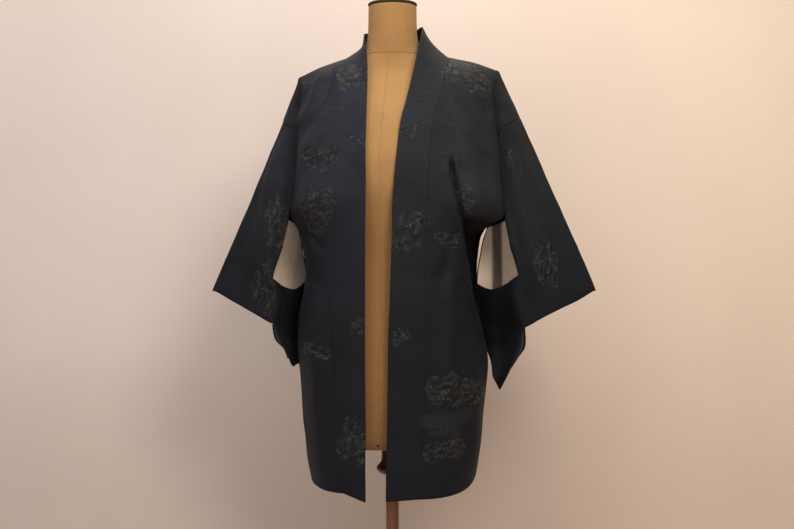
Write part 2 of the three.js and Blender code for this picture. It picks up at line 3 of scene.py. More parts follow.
import bpy
import numpy as np
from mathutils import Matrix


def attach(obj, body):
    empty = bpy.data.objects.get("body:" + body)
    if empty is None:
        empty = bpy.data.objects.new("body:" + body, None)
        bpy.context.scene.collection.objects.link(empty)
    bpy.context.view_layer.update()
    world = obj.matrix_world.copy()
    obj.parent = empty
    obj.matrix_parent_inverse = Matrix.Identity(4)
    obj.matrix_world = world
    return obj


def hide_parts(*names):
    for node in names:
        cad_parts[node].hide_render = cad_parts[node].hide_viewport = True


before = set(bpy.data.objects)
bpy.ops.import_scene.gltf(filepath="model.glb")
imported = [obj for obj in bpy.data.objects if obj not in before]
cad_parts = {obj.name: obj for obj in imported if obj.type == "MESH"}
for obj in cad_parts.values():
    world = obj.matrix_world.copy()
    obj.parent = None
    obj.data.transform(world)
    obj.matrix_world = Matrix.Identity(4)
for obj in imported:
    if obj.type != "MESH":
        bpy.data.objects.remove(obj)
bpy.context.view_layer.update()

bl_info = {
    "name": "Haori on a dress form",
    "version": (1, 0, 0),
    "blender": (4, 5, 0),
    "location": "View3D > Sidebar > Haori",
    "description": "Builds an open kimono jacket on a limbless dress form, piece by piece",
    "category": "Add Mesh",
}

# ---------- The cut, in millimetres

MM = 0.001
GAP = 0.1  # between pieces that are sewn together
SLEEVE_SEAM = 0.1  # the same at the sleeve's seam, where the cloth turns sharply
# The hem's height at the collar's free edge, at its seam, at the side and at the centre back.
HEM = {
    "left": {"edge": 573, "seam": 577, "side": 603, "back": 634},
    "right": {"edge": 571, "seam": 586, "side": 596, "back": 634},
}
CENTRE_BACK_X = 8
MID_Y = 4  # the middle of the body's sections lies this far behind the pole's axis
SQUARE = 2.5  # how square the body's sections are

# Sections below the armholes: height, half width, depths, width of the side wedge, and where the
# collar's seam and its free edge lie across the front.
SECTION = ("z", "half", "front", "back", "gusset", "seam", "edge")
BODY = {
    "left": [
        (573, 156, 131, 117, 64, 49, -12),
        (645, 164, 130, 117, 59, 53, -11),
        (730, 172, 129, 117, 54, 57, -9),
        (823, 180, 127, 116, 48, 58, -8),
        (880, 168, 126, 112, 42, 58, -7),
        (930, 160, 125, 107, 37, 59, -5),
        (990, 158, 123, 103, 31, 60, -3),
        (1055, 166, 124, 102, 25, 62, -1),
    ],
    "right": [
        (573, 152, 131, 117, 64, 88, 48),
        (645, 161, 130, 117, 59, 93, 48),
        (730, 170, 129, 117, 54, 96, 48),
        (810, 175, 127, 116, 49, 100, 49),
        (860, 179, 126, 112, 44, 101, 49),
        (910, 176, 125, 107, 39, 102, 49),
        (972, 163, 123, 103, 33, 104, 49),
        (1055, 174, 124, 102, 25, 105, 49),
    ],
}

# The upper body, from the armhole's front end over the shoulder to its back end. Each row runs from
# the neck side over the chest or shoulder blade and the fold beside the armhole to the sleeve seam.
YOKE = {
    "left": [
        ((63, -121, 1112), (140, -114, 1106), (186, -90, 1100), (205, -60, 1094)),
        ((66, -119, 1170), (142, -108, 1160), (184, -84, 1154), (203, -58, 1146)),
        ((70, -111, 1228), (144, -97, 1218), (180, -76, 1210), (200, -54, 1200)),
        ((79, -99, 1282), (146, -84, 1270), (181, -65, 1260), (199, -50, 1238)),
        ((91, -84, 1322), (150, -70, 1312), (187, -47, 1292), (209, -45, 1257)),
        ((100, -60, 1357), (154, -50, 1347), (188, -34, 1330), (227, -26, 1267)),
        ((105, -30, 1382), (160, -25, 1371), (197, -16, 1352), (239, -10, 1274)),
        ((104, 0, 1393), (160, 1, 1381), (201, 1, 1367), (243, 1, 1276)),
        ((96, 28, 1396), (156, 26, 1375), (197, 20, 1353), (239, 12, 1274)),
        ((72, 56, 1400), (146, 52, 1352), (188, 40, 1330), (227, 28, 1267)),
        ((36, 75, 1403), (130, 76, 1318), (184, 56, 1292), (209, 46, 1257)),
        ((8, 83, 1404), (118, 92, 1290), (178, 73, 1256), (200, 52, 1234)),
        ((8, 92, 1330), (116, 99, 1236), (176, 84, 1206), (201, 56, 1196)),
        ((8, 98, 1250), (118, 101, 1180), (178, 86, 1152), (203, 59, 1146)),
        ((8, 102, 1160), (116, 102, 1116), (176, 87, 1100), (205, 60, 1094)),
    ],
    "right": [
        ((105, -116, 1112), (142, -107, 1106), (172, -88, 1100), (188, -58, 1094)),
        ((106, -113, 1170), (141, -101, 1160), (168, -82, 1154), (183, -56, 1146)),
        ((107, -103, 1228), (140, -91, 1218), (164, -73, 1210), (178, -52, 1200)),
        ((104, -92, 1282), (138, -79, 1272), (163, -61, 1260), (176, -48, 1240)),
        ((101, -76, 1325), (136, -64, 1312), (164, -45, 1292), (180, -42, 1252)),
        ((98, -50, 1362), (134, -44, 1348), (164, -32, 1325), (194, -24, 1261)),
        ((91, -24, 1382), (134, -21, 1366), (172, -14, 1345), (205, -9, 1266)),
        ((86, 2, 1390), (134, 2, 1373), (177, 1, 1355), (208, 1, 1268)),
        ((80, 28, 1396), (130, 26, 1368), (172, 19, 1344), (205, 11, 1266)),
        ((60, 54, 1400), (122, 52, 1348), (165, 38, 1324), (194, 26, 1261)),
        ((22, 76, 1403), (106, 76, 1316), (160, 54, 1290), (180, 44, 1252)),
        ((-8, 83, 1404), (96, 92, 1290), (155, 72, 1256), (177, 52, 1234)),
        ((-8, 92, 1330), (94, 99, 1236), (155, 83, 1206), (178, 56, 1196)),
        ((-8, 98, 1250), (96, 101, 1180), (158, 85, 1152), (183, 58, 1146)),
        ((-8, 102, 1160), (96, 102, 1116), (160, 86, 1100), (188, 59, 1094)),
    ],
}

# The collar's free edge beside each of the yoke's rows.
COLLAR_EDGE = {
    "left": [
        (0, -124, 1112), (4, -124, 1165), (9, -117, 1215), (15, -108, 1262), (25, -97, 1300),
        (36, -80, 1348), (47, -58, 1398), (55, -22, 1437), (56, 14, 1454), (44, 46, 1453),
        (24, 61, 1451),
    ],
    "right": [
        (48, -124, 1112), (48, -124, 1170), (48, -116, 1228), (47, -104, 1276), (46, -88, 1322),
        (46, -68, 1364), (49, -44, 1404), (53, -14, 1430), (52, 18, 1442), (38, 46, 1446),
        (20, 60, 1449),
    ],
}
COLLAR_CENTRE = (4, 65, 1450)
# How far the collar's middle bends towards the neck beside the same rows.
COLLAR_DIP = {
    "left": [0, 0, 0, 0, 0, 1, 3, 5, 5, 3, 1],
    "right": [0, 0, 0, 0, 0, 2, 7, 12, 11, 7, 3],
}

# The sleeves below the armhole's end, by the names in SLEEVE_ROWS. Each row is the front fold, the
# top fold or further down the cuff's corner, the back fold, and the edge next to the body.
SLEEVE_ROWS = ("armhole", "window", "rim", "bag", "cuff", "below", "corner", "low", "bottom")
SLEEVE = {
    "left": [
        ((207, -60, 1095), (303, 1, 1139), (207, 60, 1091), (188, 62, 1081)),
        ((218, -59, 1036), (328, 1, 1083), (216, 56, 1036), (174, 48, 1036)),
        ((233, -56, 980), (351, 1, 1031), (228, 52, 980), (162, 32, 966)),
        ((232, -52, 934), (368, 1, 992), (232, 48, 934), (162, 42, 925)),
        ((246, -46, 882), (386, 1, 950), (244, 44, 882), (169, 46, 880)),
        ((244, -43, 879), (251, -2, 880), (242, 40, 879), (169, 45, 876)),
        ((236, -32, 846), (251, 2, 842), (236, 32, 846), (180, 42, 843)),
        ((222, -20, 806), (238, 2, 822), (222, 22, 806), (189, 15, 812)),
        ((204, -8, 764), (226, 1, 804), (204, 8, 764), (191, 3, 787)),
    ],
    "right": [
        ((190, -58, 1095), (262, 1, 1137), (190, 59, 1091), (178, 63, 1082)),
        ((204, -57, 1034), (286, 1, 1081), (202, 56, 1034), (176, 50, 1034)),
        ((222, -54, 974), (307, 1, 1030), (220, 50, 974), (165, 32, 975)),
        ((214, -48, 934), (323, 1, 992), (216, 46, 934), (173, 45, 925)),
        ((222, -42, 889), (341, 1, 950), (222, 42, 889), (178, 48, 884)),
        ((220, -39, 886), (227, -2, 887), (220, 38, 886), (178, 48, 880)),
        ((208, -28, 858), (222, 2, 858), (208, 28, 858), (178, 51, 858)),
        ((198, -18, 836), (206, 2, 840), (198, 20, 836), (176, 55, 836)),
        ((190, -7, 808), (199, 1, 822), (190, 7, 808), (173, 58, 810)),
    ],
}
TOP_FOLD = 4  # half the thickness of the sleeve's top fold
BULGE = 7  # how far a sleeve layer rounds out between its folds
RECESS = 10  # the bag's front lies this far behind the fold beside it
LAYER_STEPS = 4
BAG_COLUMNS = 3
SEAM_ROW = 4
RIM_DIP = {"left": 18, "right": 21}  # the bag's rim sags this much between its ends

# Dress form sections: height, half width, depth to the front and to the back.
FORM = [
    (660, 148, 98, 98), (700, 158, 103, 104), (790, 161, 106, 106), (870, 148, 102, 99),
    (950, 124, 94, 84), (1010, 113, 91, 76), (1080, 122, 101, 80), (1150, 138, 116, 87),
    (1190, 143, 117, 90), (1240, 145, 106, 91), (1290, 152, 88, 86), (1330, 152, 64, 72),
    (1350, 138, 50, 58), (1367, 109, 43, 50), (1380, 82, 42, 47), (1393, 63, 43, 46),
    (1410, 52, 46, 45), (1440, 46.5, 47, 44), (1490, 45.5, 46, 43),
]
FORM_SECTION = ("z", "half", "front", "back")
FORM_RINGS = 70

# Turned pieces, as heights and radii from the bottom up.
CAP = [(1490.3, 44), (1490.8, 46), (1492, 46.8), (1494, 46.6), (1495.6, 45), (1496, 43)]
KNOB = [(1496.3, 23), (1497, 24.6), (1499, 25), (1501, 23.6), (1503, 19), (1505, 11), (1506, 4)]
TURNING = [
    (601, 13.5), (601.4, 14.5), (603, 19), (605.5, 24.5), (608, 27.8), (611, 30), (614, 30.6),
    (617, 29.6), (620, 27.2), (623, 24.2), (626, 22.3), (629, 21.3), (633, 21), (640, 20.6),
    (648, 20.8), (651.2, 21.3), (652, 23.6), (653.5, 24), (659, 24), (659.7, 23.4),
]
POLE = [(26.3, 11.6), (27, 12.25), (600, 12.25), (600.7, 11.8)]
BASE = [
    (0, 196), (1, 198.4), (4, 200), (15, 200), (18, 199), (21, 196.5), (23.5, 192), (24.4, 187),
    (24.8, 182), (25.6, 180), (26, 176), (26, 40), (26, 16),
]
NECK_SEAM_Z = 1396
TACK = (-26, 669)  # across and up, on the form's front
TACK_RADIUS = 2.4

# Folds and creases of the front and the back: from x, z to x, z, how wide, and how high. A trough
# is negative.
BODY_FOLDS = {
    "right": {
        "front": [
            (-104, 1362, -166, 1232, 9, -5.5), (-120, 1366, -172, 1262, 11, 4.0),
            (-112, 1300, -170, 1196, 14, 4.5), (-118, 1268, -172, 1150, 9, -4.0),
            (-128, 1180, -180, 1092, 12, 3.5), (-172, 1075, -122, 1024, 8, -4.5),
            (-172, 1052, -116, 1010, 10, 3.5), (-166, 1000, -124, 960, 11, -3.0),
            (-140, 1010, -146, 700, 17, 3.0), (-116, 960, -112, 640, 13, -2.2),
            (-160, 900, -150, 610, 15, -3.0),
        ],
        "back": [
            (-30, 1330, -150, 1190, 16, 4.0), (-50, 1270, -166, 1130, 12, -4.0),
            (-60, 1190, -168, 1090, 16, 3.5), (-120, 1080, -60, 960, 18, -4.0),
            (-96, 1020, -104, 600, 22, 5.0), (-52, 960, -46, 600, 18, -4.0),
            (-146, 980, -140, 620, 14, -3.5),
        ],
    },
    "left": {
        "front": [
            (116, 1372, 180, 1290, 11, 3.0), (108, 1330, 176, 1240, 13, -2.5),
            (118, 1290, 178, 1196, 16, 3.0), (104, 1190, 112, 1160, 5, -5.0),
            (118, 1192, 146, 1158, 8, -3.0), (92, 1180, 104, 1100, 10, 1.5),
            (118, 1060, 92, 980, 10, -3.0), (128, 1000, 96, 930, 12, 3.0),
            (100, 960, 104, 640, 18, 2.8), (132, 900, 128, 600, 16, -2.8),
            (152, 860, 146, 620, 12, 2.5),
        ],
        "back": [
            (40, 1330, 160, 1200, 16, 4.0), (50, 1260, 176, 1140, 12, -4.0),
            (130, 1080, 66, 970, 18, -4.0), (104, 1010, 112, 600, 22, 5.0),
            (60, 960, 54, 600, 18, -4.0), (150, 980, 146, 620, 14, -3.0),
        ],
    },
}
SLEEVE_FOLDS = {
    "right": {
        "front": [
            (-196, 1225, -226, 1010, 12, -3.5), (-214, 1240, -262, 1040, 14, 3.0),
            (-252, 1130, -296, 960, 15, -2.5), (-196, 1110, -240, 930, 9, 3.0),
            (-196, 930, -192, 830, 6, -3.0),
        ],
        "back": [
            (-200, 1200, -240, 980, 13, -3.5), (-232, 1180, -290, 960, 15, 3.5),
            (-200, 960, -196, 830, 8, -3.0),
        ],
    },
    "left": {
        "front": [
            (216, 1230, 246, 1030, 12, -3.5), (238, 1240, 300, 1010, 15, 3.0),
            (290, 1120, 338, 960, 16, -2.5), (214, 1110, 262, 920, 9, 3.0),
            (196, 940, 204, 800, 6, -3.5), (182, 930, 190, 820, 5, 3.0),
        ],
        "back": [
            (224, 1200, 262, 970, 13, -3.5), (256, 1190, 330, 970, 15, 3.5),
            (206, 960, 210, 800, 8, -3.5),
        ],
    },
}

# The chest's overhanging fold above the wearer's left armhole end.
POUCH = {
    "x": 164, "z": 1116, "half_x": 40, "half_z": 38, "forward": 15, "sag": 10, "under_z": 1086,
    "tuck": 42,
}
# The edge of the front's flat strip below it: heights and distances from the middle.
STRIP_Z = [850, 890, 936, 971, 1027, 1090, 1108, 1146, 1178]
STRIP_X = [182, 163, 147, 140, 130, 123, 120, 112, 106]

# Where cloth lies so deep beside a fold that hardly any light comes in: the face, the line's
# heights from the bottom up, its X at them, how far the shade reaches towards -X and +X, and how
# dark it is.
SHADES = [
    ("front", [1066, 1149, 1214, 1279, 1340], [-188, -182, -177, -174, -172], 17, 2.5, 0.8),
    ("front", [1066, 1090, 1138], [-181, -180, -179], 6, 6, 0.5),
    ("front", [1095, 1203, 1285, 1326, 1352], [206, 201, 191, 187, 192], 5, 10, 0.75),
    ("front", [1092, 1108, 1146, 1180], [123, 120, 112, 106], 1.5, 6, 0.7),
    ("front", [1176, 1179, 1182], [110, 110, 110], 7, 9, 0.85),
    ("front", [860, 900, 940, 955], [-176, -178, -176, -170], 8, 5, 0.4),
]

# Woven motifs by face and kind: the middle's x and z, width, height and tilt in degrees. A motif's
# place in the list seeds its shape.
MOTIF_GROUPS = [
    ("front", "garden", [
        (-70, 1360, 56, 58, 0), (-160, 1336, 26, 22, 0), (-134, 1190, 60, 50, 0),
        (-138, 1096, 62, 72, 0), (-60, 1224, 32, 26, 0), (-140, 842, 58, 26, 0),
        (-60, 884, 32, 42, 0), (-72, 686, 50, 80, 0), (-212, 1080, 50, 96, -20),
        (-236, 956, 44, 92, -14), (30, 1238, 42, 28, 0), (140, 1352, 92, 56, -18),
        (30, 1066, 58, 74, 0), (104, 1042, 44, 34, 0), (134, 1126, 30, 50, 20),
        (16, 866, 36, 30, 0), (108, 768, 92, 56, 0), (92, 664, 68, 44, 0),
    ]),
    ("front", "cloud", [
        (84, 722, 50, 40, 10), (118, 726, 46, 40, 0), (96, 700, 56, 34, 0),
    ]),
    ("front", "garden", [(226, 1190, 22, 50, 18), (288, 1000, 42, 80, 22)]),
    ("back", "garden", [
        (-90, 1260, 90, 60, 0), (60, 1160, 110, 60, 0), (-60, 1020, 100, 70, 0),
        (110, 960, 80, 60, 0), (-120, 830, 90, 50, 0),
    ]),
    ("back", "cloud", [(40, 800, 120, 70, 0)]),
    ("back", "garden", [(70, 690, 110, 60, 0)]),
    ("back", "cloud", [(-80, 650, 90, 50, 0)]),
    ("back", "garden", [(250, 1100, 60, 80, 20), (-240, 1080, 60, 80, -20)]),
    ("back", "cloud", [(-20, 1340, 60, 40, 0)]),
]
MOTIFS = [(face, kind, *row) for face, kind, rows in MOTIF_GROUPS for row in rows]

# The stage, in metres. Lights: name, place, target, size and tint.
BACKDROP_Y = 0.40
CAMERA_PLACE = (0.0085, -2.4, 1.0)
UPRIGHT = (math.pi / 2, 0, 0)
LIGHTS = [
    ("key", (0.75, -2.0, 2.5), (0.0, 0.0, 1.4), 0.9, (1.0, 0.94, 0.86)),
    ("fill", (-1.5, -2.0, 2.3), (0.0, 0.0, 1.4), 2.0, (0.90, 0.95, 1.0)),
    ("top", (-0.1, -0.9, 3.0), (0.0, 0.3, 1.5), 1.6, (1.0, 0.96, 0.92)),
    ("back", (0.0, 0.36, 2.15), (0.0, -0.05, 1.0), 0.5, (1.0, 0.96, 0.92)),
]

FOLD_WANDER = 0.35  # how far a fold strays from its line, as a share of its width
FOLD_BESIDE = 0.45  # how deep the hollow beside a fold is, as a share of its height
SHADE_END = 7  # over this length each way a fold's shade fades out at its ends
RECESS_SHADE = 0.92  # how dark the tucked side below the chest fold is
MOTIF_FAR = 60.0  # the distance that stands for no motif near
MOTIF_SEED = 40
BODY_SEED, SLEEVE_SEED = 3, 5  # for the soft waves
FOLD_ROUND = 0.15  # the share of each side of the fold beside the armhole that rounds over
FINE = 10  # rows of the fine surface to one step between the guide rows
COLUMNS = 84  # columns across a body panel
RING_FINE = 5  # fine columns to one step round a sleeve

# ---------- Small helpers


def column(rows, names, name):
    return np.array([row[names.index(name)] for row in rows], float)


def read(rows, names, name, z):
    """A table's column at a height, smooth and without overshoot."""
    heights, values = column(rows, names, "z"), column(rows, names, name)
    if z <= heights[0]:
        return values[0]
    if z >= heights[-1]:
        return values[-1]
    i = int(np.searchsorted(heights, z, side="right")) - 1
    slopes = np.diff(values) / np.diff(heights)

    def tangent(k):
        if k == 0:
            return slopes[0]
        if k == len(slopes):
            return slopes[-1]
        before, after = slopes[k - 1], slopes[k]
        return 0.0 if before * after <= 0 else 2 * before * after / (before + after)

    step = heights[i + 1] - heights[i]
    t = (z - heights[i]) / step
    return (
        (2 * t**3 - 3 * t**2 + 1) * values[i]
        + (t**3 - 2 * t**2 + t) * step * tangent(i)
        + (3 * t**2 - 2 * t**3) * values[i + 1]
        + (t**3 - t**2) * step * tangent(i + 1)
    )


def section(side, name, z):
    """A measure of the body's section at a height."""
    return read(BODY[side], SECTION, name, z)


def form_radii(z):
    """Half width, depth to the front and depth to the back of the dress form at a height."""
    return tuple(read(FORM, FORM_SECTION, name, z) for name in FORM_SECTION[1:])


def smooth_step(low, high, value):
    t = np.clip((value - low) / (high - low), 0, 1)
    return t * t * (3 - 2 * t)


def along_curve(points, steps):
    """A centripetal curve through the first axis of points, with steps between each two."""
    points = np.asarray(points, float)
    ends = [2 * points[:1] - points[1:2], points, 2 * points[-1:] - points[-2:-1]]
    padded = np.concatenate(ends)
    lengths = np.linalg.norm(np.diff(padded, axis=0), axis=-1, keepdims=True)
    spacing = np.maximum(lengths, 1e-4) ** 0.5
    t = np.linspace(0, 1, steps, endpoint=False).reshape(-1, *[1] * (points.ndim - 1))
    spans = []
    for k in range(len(points) - 1):
        before, start, end, after = padded[k : k + 4]
        d0, d1, d2 = spacing[k : k + 3]
        a = ((start - before) / d0 - (end - before) / (d0 + d1) + (end - start) / d1) * d1
        b = ((end - start) / d1 - (after - start) / (d1 + d2) + (after - end) / d2) * d1
        cubic = (2 * t**3 - 3 * t**2 + 1) * start + (t**3 - 2 * t**2 + t) * a
        spans.append(cubic + (3 * t**2 - 2 * t**3) * end + (t**3 - t**2) * b)
    return np.concatenate([*spans, points[-1:]])


def spaced(points, steps):
    """Evenly spaced points along a smooth curve through the points given."""
    fine = along_curve(points, 24)
    travelled = np.concatenate([[0], np.cumsum(np.linalg.norm(np.diff(fine, axis=0), axis=1))])
    wanted = np.linspace(0, travelled[-1], steps + 1)
    return np.stack([np.interp(wanted, travelled, fine[:, k]) for k in range(3)], axis=1)


def inset(start, end, distance):
    start, end = np.asarray(start, float), np.asarray(end, float)
    return start + (end - start) * distance / np.linalg.norm(end - start)


def sign_of(side):
    return 1 if side == "left" else -1


def placed(side, point):
    return np.array([sign_of(side) * point[0], point[1], point[2]], float)


def surface_normals(grid, flip):
    """Outward unit normals of a grid of points."""
    across = np.gradient(grid, axis=1)
    down = np.gradient(grid, axis=0)
    normals = np.cross(across, down)
    normals /= np.maximum(np.linalg.norm(normals, axis=2, keepdims=True), 1e-9)
    return -normals if flip else normals


# ---------- Folds and motifs


def fold_heights(grid, folds):
    """How far each point stands out for the folds of its face."""
    height = np.zeros(grid.shape[:2])
    x, y, z = grid[..., 0], grid[..., 1], grid[..., 2]
    for face, rows in folds.items():
        facing = smooth_step(-4, 22, -y if face == "front" else y)
        for x0, z0, x1, z1, width, crest in rows:
            run_x, run_z = float(x1 - x0), float(z1 - z0)
            length = math.hypot(run_x, run_z)
            along = ((x - x0) * run_x + (z - z0) * run_z) / length**2
            off = ((x - x0) * run_z - (z - z0) * run_x) / length
            wander = width * FOLD_WANDER * np.sin(along * 5.1 + x0 * 0.07)
            ends = smooth_step(-0.12, 0.3, along) * smooth_step(1.12, 0.72, along)
            share = (off + wander) / width
            beside = np.exp(-((share - 1.7) ** 2) / 1.6)
            height += crest * (np.exp(-(share**2)) - FOLD_BESIDE * beside) * ends * facing
    return height


def soft_waves(grid, seed):
    """Slow uneven waves of about a millimetre, so that no panel is a perfect surface."""
    rng = np.random.default_rng(seed)
    x, y, z = (grid[..., k] for k in range(3))
    height = np.zeros(grid.shape[:2])
    for size, amount in ((150, 1.1), (95, 0.8), (60, 0.5), (38, 0.28)):
        for _ in range(3):
            way = rng.normal(size=3)
            way /= np.linalg.norm(way)
            phase = rng.uniform(0, 2 * math.pi)
            travel = (x * way[0] + y * way[1] + z * way[2]) * 2 * math.pi / size
            height += amount / 3 * np.sin(travel + phase)
    return height


def fold_shade(points):
    """How deep each point lies in a fold's shade, from 0 in the open to 1."""
    x, y, z = points.T
    shade = np.zeros(len(points))
    for face, line_z, line_x, before, after, dark in SHADES:
        off = x - np.interp(z, line_z, line_x)
        reach = np.where(off < 0, before, after)
        low, high = line_z[0], line_z[-1]
        ends = smooth_step(low - SHADE_END, low + SHADE_END, z)
        ends = ends * smooth_step(high + SHADE_END, high - SHADE_END, z)
        facing = smooth_step(4, -4, y if face == "front" else -y)
        near = np.exp(-np.abs(off / reach) ** 1.5)
        shade = np.maximum(shade, dark * near * ends * facing)
    under = POUCH["under_z"]
    below = smooth_step(under + 2, under - 4, z) * smooth_step(880, 950, z) * smooth_step(2, -2, y)
    below *= smooth_step(196, 190, x)
    recess = below * smooth_step(0, 5, x - np.interp(z, STRIP_Z, STRIP_X))
    return np.maximum(shade, RECESS_SHADE * recess)


def motif_lobes(kind, width, height, seed):
    """The ellipses that make up a motif: middles, from the motif's own, and half sizes."""
    rng = np.random.default_rng(seed)
    count = 2 + round(width / (16 if kind == "garden" else 26))
    lobes = []
    for k in range(count):
        across = ((k + 0.5) / count - 0.5) * width * 0.84 + rng.uniform(-0.06, 0.06) * width
        if kind == "garden":
            half_width = width * rng.uniform(0.18, 0.3)
            half_height = height * rng.uniform(0.24, 0.42)
            lobes.append((across, rng.uniform(-0.3, 0.3) * height, half_width, half_height))
        else:
            radius = height * rng.uniform(0.2, 0.36)
            lobes.append((across, rng.uniform(-0.16, 0.16) * height, radius * 1.15, radius))
    return lobes


def motif_distances(points, kind):
    """How far each point lies outside the nearest woven motif of that kind, less than 0 inside."""
    x, y, z = points.T
    nearest = np.full(len(points), MOTIF_FAR)
    for k, (face, own_kind, x0, z0, width, height, tilt) in enumerate(MOTIFS):
        if own_kind != kind:
            continue
        cos, sin = math.cos(math.radians(tilt)), math.sin(math.radians(tilt))
        dx, dz = x - x0, z - z0
        across, up = dx * cos + dz * sin, dz * cos - dx * sin
        other_face = MOTIF_FAR * smooth_step(4, -2, -y if face == "front" else y)
        lobes = motif_lobes(kind, width, height, MOTIF_SEED + k)
        for middle, rise, half_width, half_height in lobes:
            reach = np.hypot((across - middle) / half_width, (up - rise) / half_height)
            distance = (reach - 1) * min(half_width, half_height)
            nearest = np.minimum(nearest, distance + other_face)
    return nearest


# ---------- Meshes


def add_mesh(name, vertices, faces, uvs=None):
    """An object of that mesh. Vertices are in millimetres, and uvs has one pair to a vertex."""
    used = np.unique(np.concatenate([np.asarray(f) for f in faces]))
    renumber = {int(old): new for new, old in enumerate(used)}
    kept = np.asarray(vertices)[used]
    mesh = bpy.data.meshes.new(name)
    numbered = [[renumber[int(v)] for v in face] for face in faces]
    mesh.from_pydata((kept * MM).tolist(), [], numbered)
    mesh.update()
    if uvs is not None:
        layer = mesh.uv_layers.new(name="cloth")
        pairs = np.asarray(uvs)[used] * MM
        corners = np.zeros(len(mesh.loops), np.int32)
        mesh.loops.foreach_get("vertex_index", corners)
        layer.data.foreach_set("uv", pairs[corners].astype(np.float32).ravel())
    for kind in ("garden", "cloud", "shade"):
        values = fold_shade(kept) if kind == "shade" else motif_distances(kept, kind)
        attribute = mesh.attributes.new(kind, "FLOAT", "POINT")
        attribute.data.foreach_set("value", values.astype(np.float32))
    mesh.shade_smooth()
    piece = bpy.data.objects.new(name, mesh)
    bpy.context.scene.collection.objects.link(piece)
    return piece


def cloth_coordinates(grid):
    """Distances along the columns and rows of a grid, for the weave."""
    across = np.linalg.norm(np.diff(grid, axis=1), axis=2)
    down = np.linalg.norm(np.diff(grid, axis=0), axis=2)
    u = np.concatenate([np.zeros((len(grid), 1)), np.cumsum(across, axis=1)], axis=1)
    v = np.concatenate([np.zeros((1, grid.shape[1])), np.cumsum(down, axis=0)])
    middle = grid.shape[1] // 2
    return np.stack([u, np.repeat(v[:, middle : middle + 1], grid.shape[1], axis=1)], axis=2)


def grid_faces(rows, columns, keep=None, cyclic=False, flip=False):
    faces = []
    for i in range(rows - 1):
        for j in range(columns if cyclic else columns - 1):
            if keep is not None and not keep(i, j):
                continue
            k = (j + 1) % columns
            row, after = i * columns, (i + 1) * columns
            face = [row + j, row + k, after + k, after + j]
            faces.append(face[::-1] if flip else face)
    return faces


def thicken(piece, thickness, offset=1):
    """Gives a sheet its wall, outwards from its inner face, or inwards with offset -1."""
    solid = piece.modifiers.new("wall", "SOLIDIFY")
    solid.thickness = thickness
    solid.offset = offset
    solid.use_even_offset = False


def cloth_piece(name, grid, flip, thickness, look, offset=1):
    coordinates = cloth_coordinates(grid).reshape(-1, 2)
    faces = grid_faces(*grid.shape[:2], flip=flip)
    piece = add_mesh(name, grid.reshape(-1, 3), faces, coordinates)
    piece.data.materials.append(look)
    thicken(piece, thickness, offset)
    return piece


def declare(piece, node):
    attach(piece, "root")
    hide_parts(node)


# ---------- The haori's surfaces


def section_point(side, z, angle):
    """A point of the body's section. angle runs from -90 degrees in front to 90 at the back."""
    way = -1 if angle < 0 else 1
    depth = section(side, "front" if angle < 0 else "back", z) - way * MID_Y
    power = 2 / SQUARE
    half = section(side, "half", z)
    x = sign_of(side) * half * abs(math.cos(angle)) ** power
    return np.array([x, MID_Y + way * depth * abs(math.sin(angle)) ** power, z])


def angle_at_x(side, z, x):
    return math.acos(min(1, (abs(x) / section(side, "half", z)) ** (SQUARE / 2)))


def angle_at_gusset(side, z, half, face):
    return math.asin((half / section(side, face, z)) ** (SQUARE / 2))


def lower_row(side, z, face):
    way = -1 if face == "front" else 1
    half = section(side, "gusset", z) / 2 + GAP / 2
    outer = angle_at_gusset(side, z, half, face)
    if face == "front":
        inner_x = section(side, "seam", z) + GAP / 2
    else:
        inner_x = max(0, sign_of(side) * CENTRE_BACK_X + GAP / 2)
    inner = angle_at_x(side, z, inner_x)
    points = []
    for t in np.linspace(0, 1, 13):
        point = section_point(side, z, way * (inner + (outer - inner) * t))
        if z == BODY[side][0][0]:
            start = HEM[side]["seam" if face == "front" else "back"]
            point[2] = start + (HEM[side]["side"] - start) * t**2
        points.append(point)
    if face == "back" and side == "right":
        points.insert(0, np.array([CENTRE_BACK_X - GAP / 2, points[0][1], points[0][2]]))
    return spaced(points, COLUMNS)


def yoke_row(side, row):
    inner, mid, fold, outer = (placed(side, p) for p in row)
    before, after = fold + (mid - fold) * FOLD_ROUND, fold + (outer - fold) * FOLD_ROUND
    ends = inset(inner, mid, GAP / 2), inset(outer, fold, SLEEVE_SEAM)
    return spaced([ends[0], mid, before, fold, after, ends[1]], COLUMNS)


def seam_roll(grid):
    """Cloth rolls in a little where it is sewn, along both edges of a panel."""
    across = cloth_coordinates(grid)[..., 0]
    near = np.minimum(across, across[:, -1:] - across)
    return -0.3 * np.exp(-((near / 2.2) ** 2))


def with_allowances(grid, flip, reach, depth):
    """Adds the seam allowances under the neighbours' edges, with reach and depth for each side."""
    normals = surface_normals(grid, flip)
    sides = []
    for at, beside, k in ((0, 1, 0), (-1, -2, 1)):
        out = grid[:, at] - grid[:, beside]
        out /= np.maximum(np.linalg.norm(out, axis=1, keepdims=True), 1e-9)
        turned = grid[:, at] - normals[:, at] * depth[k]
        sides.append(np.stack([turned + out * 0.2, turned + out * reach[k]], axis=1))
    return np.concatenate([sides[0][:, ::-1], grid, sides[1]], axis=1)


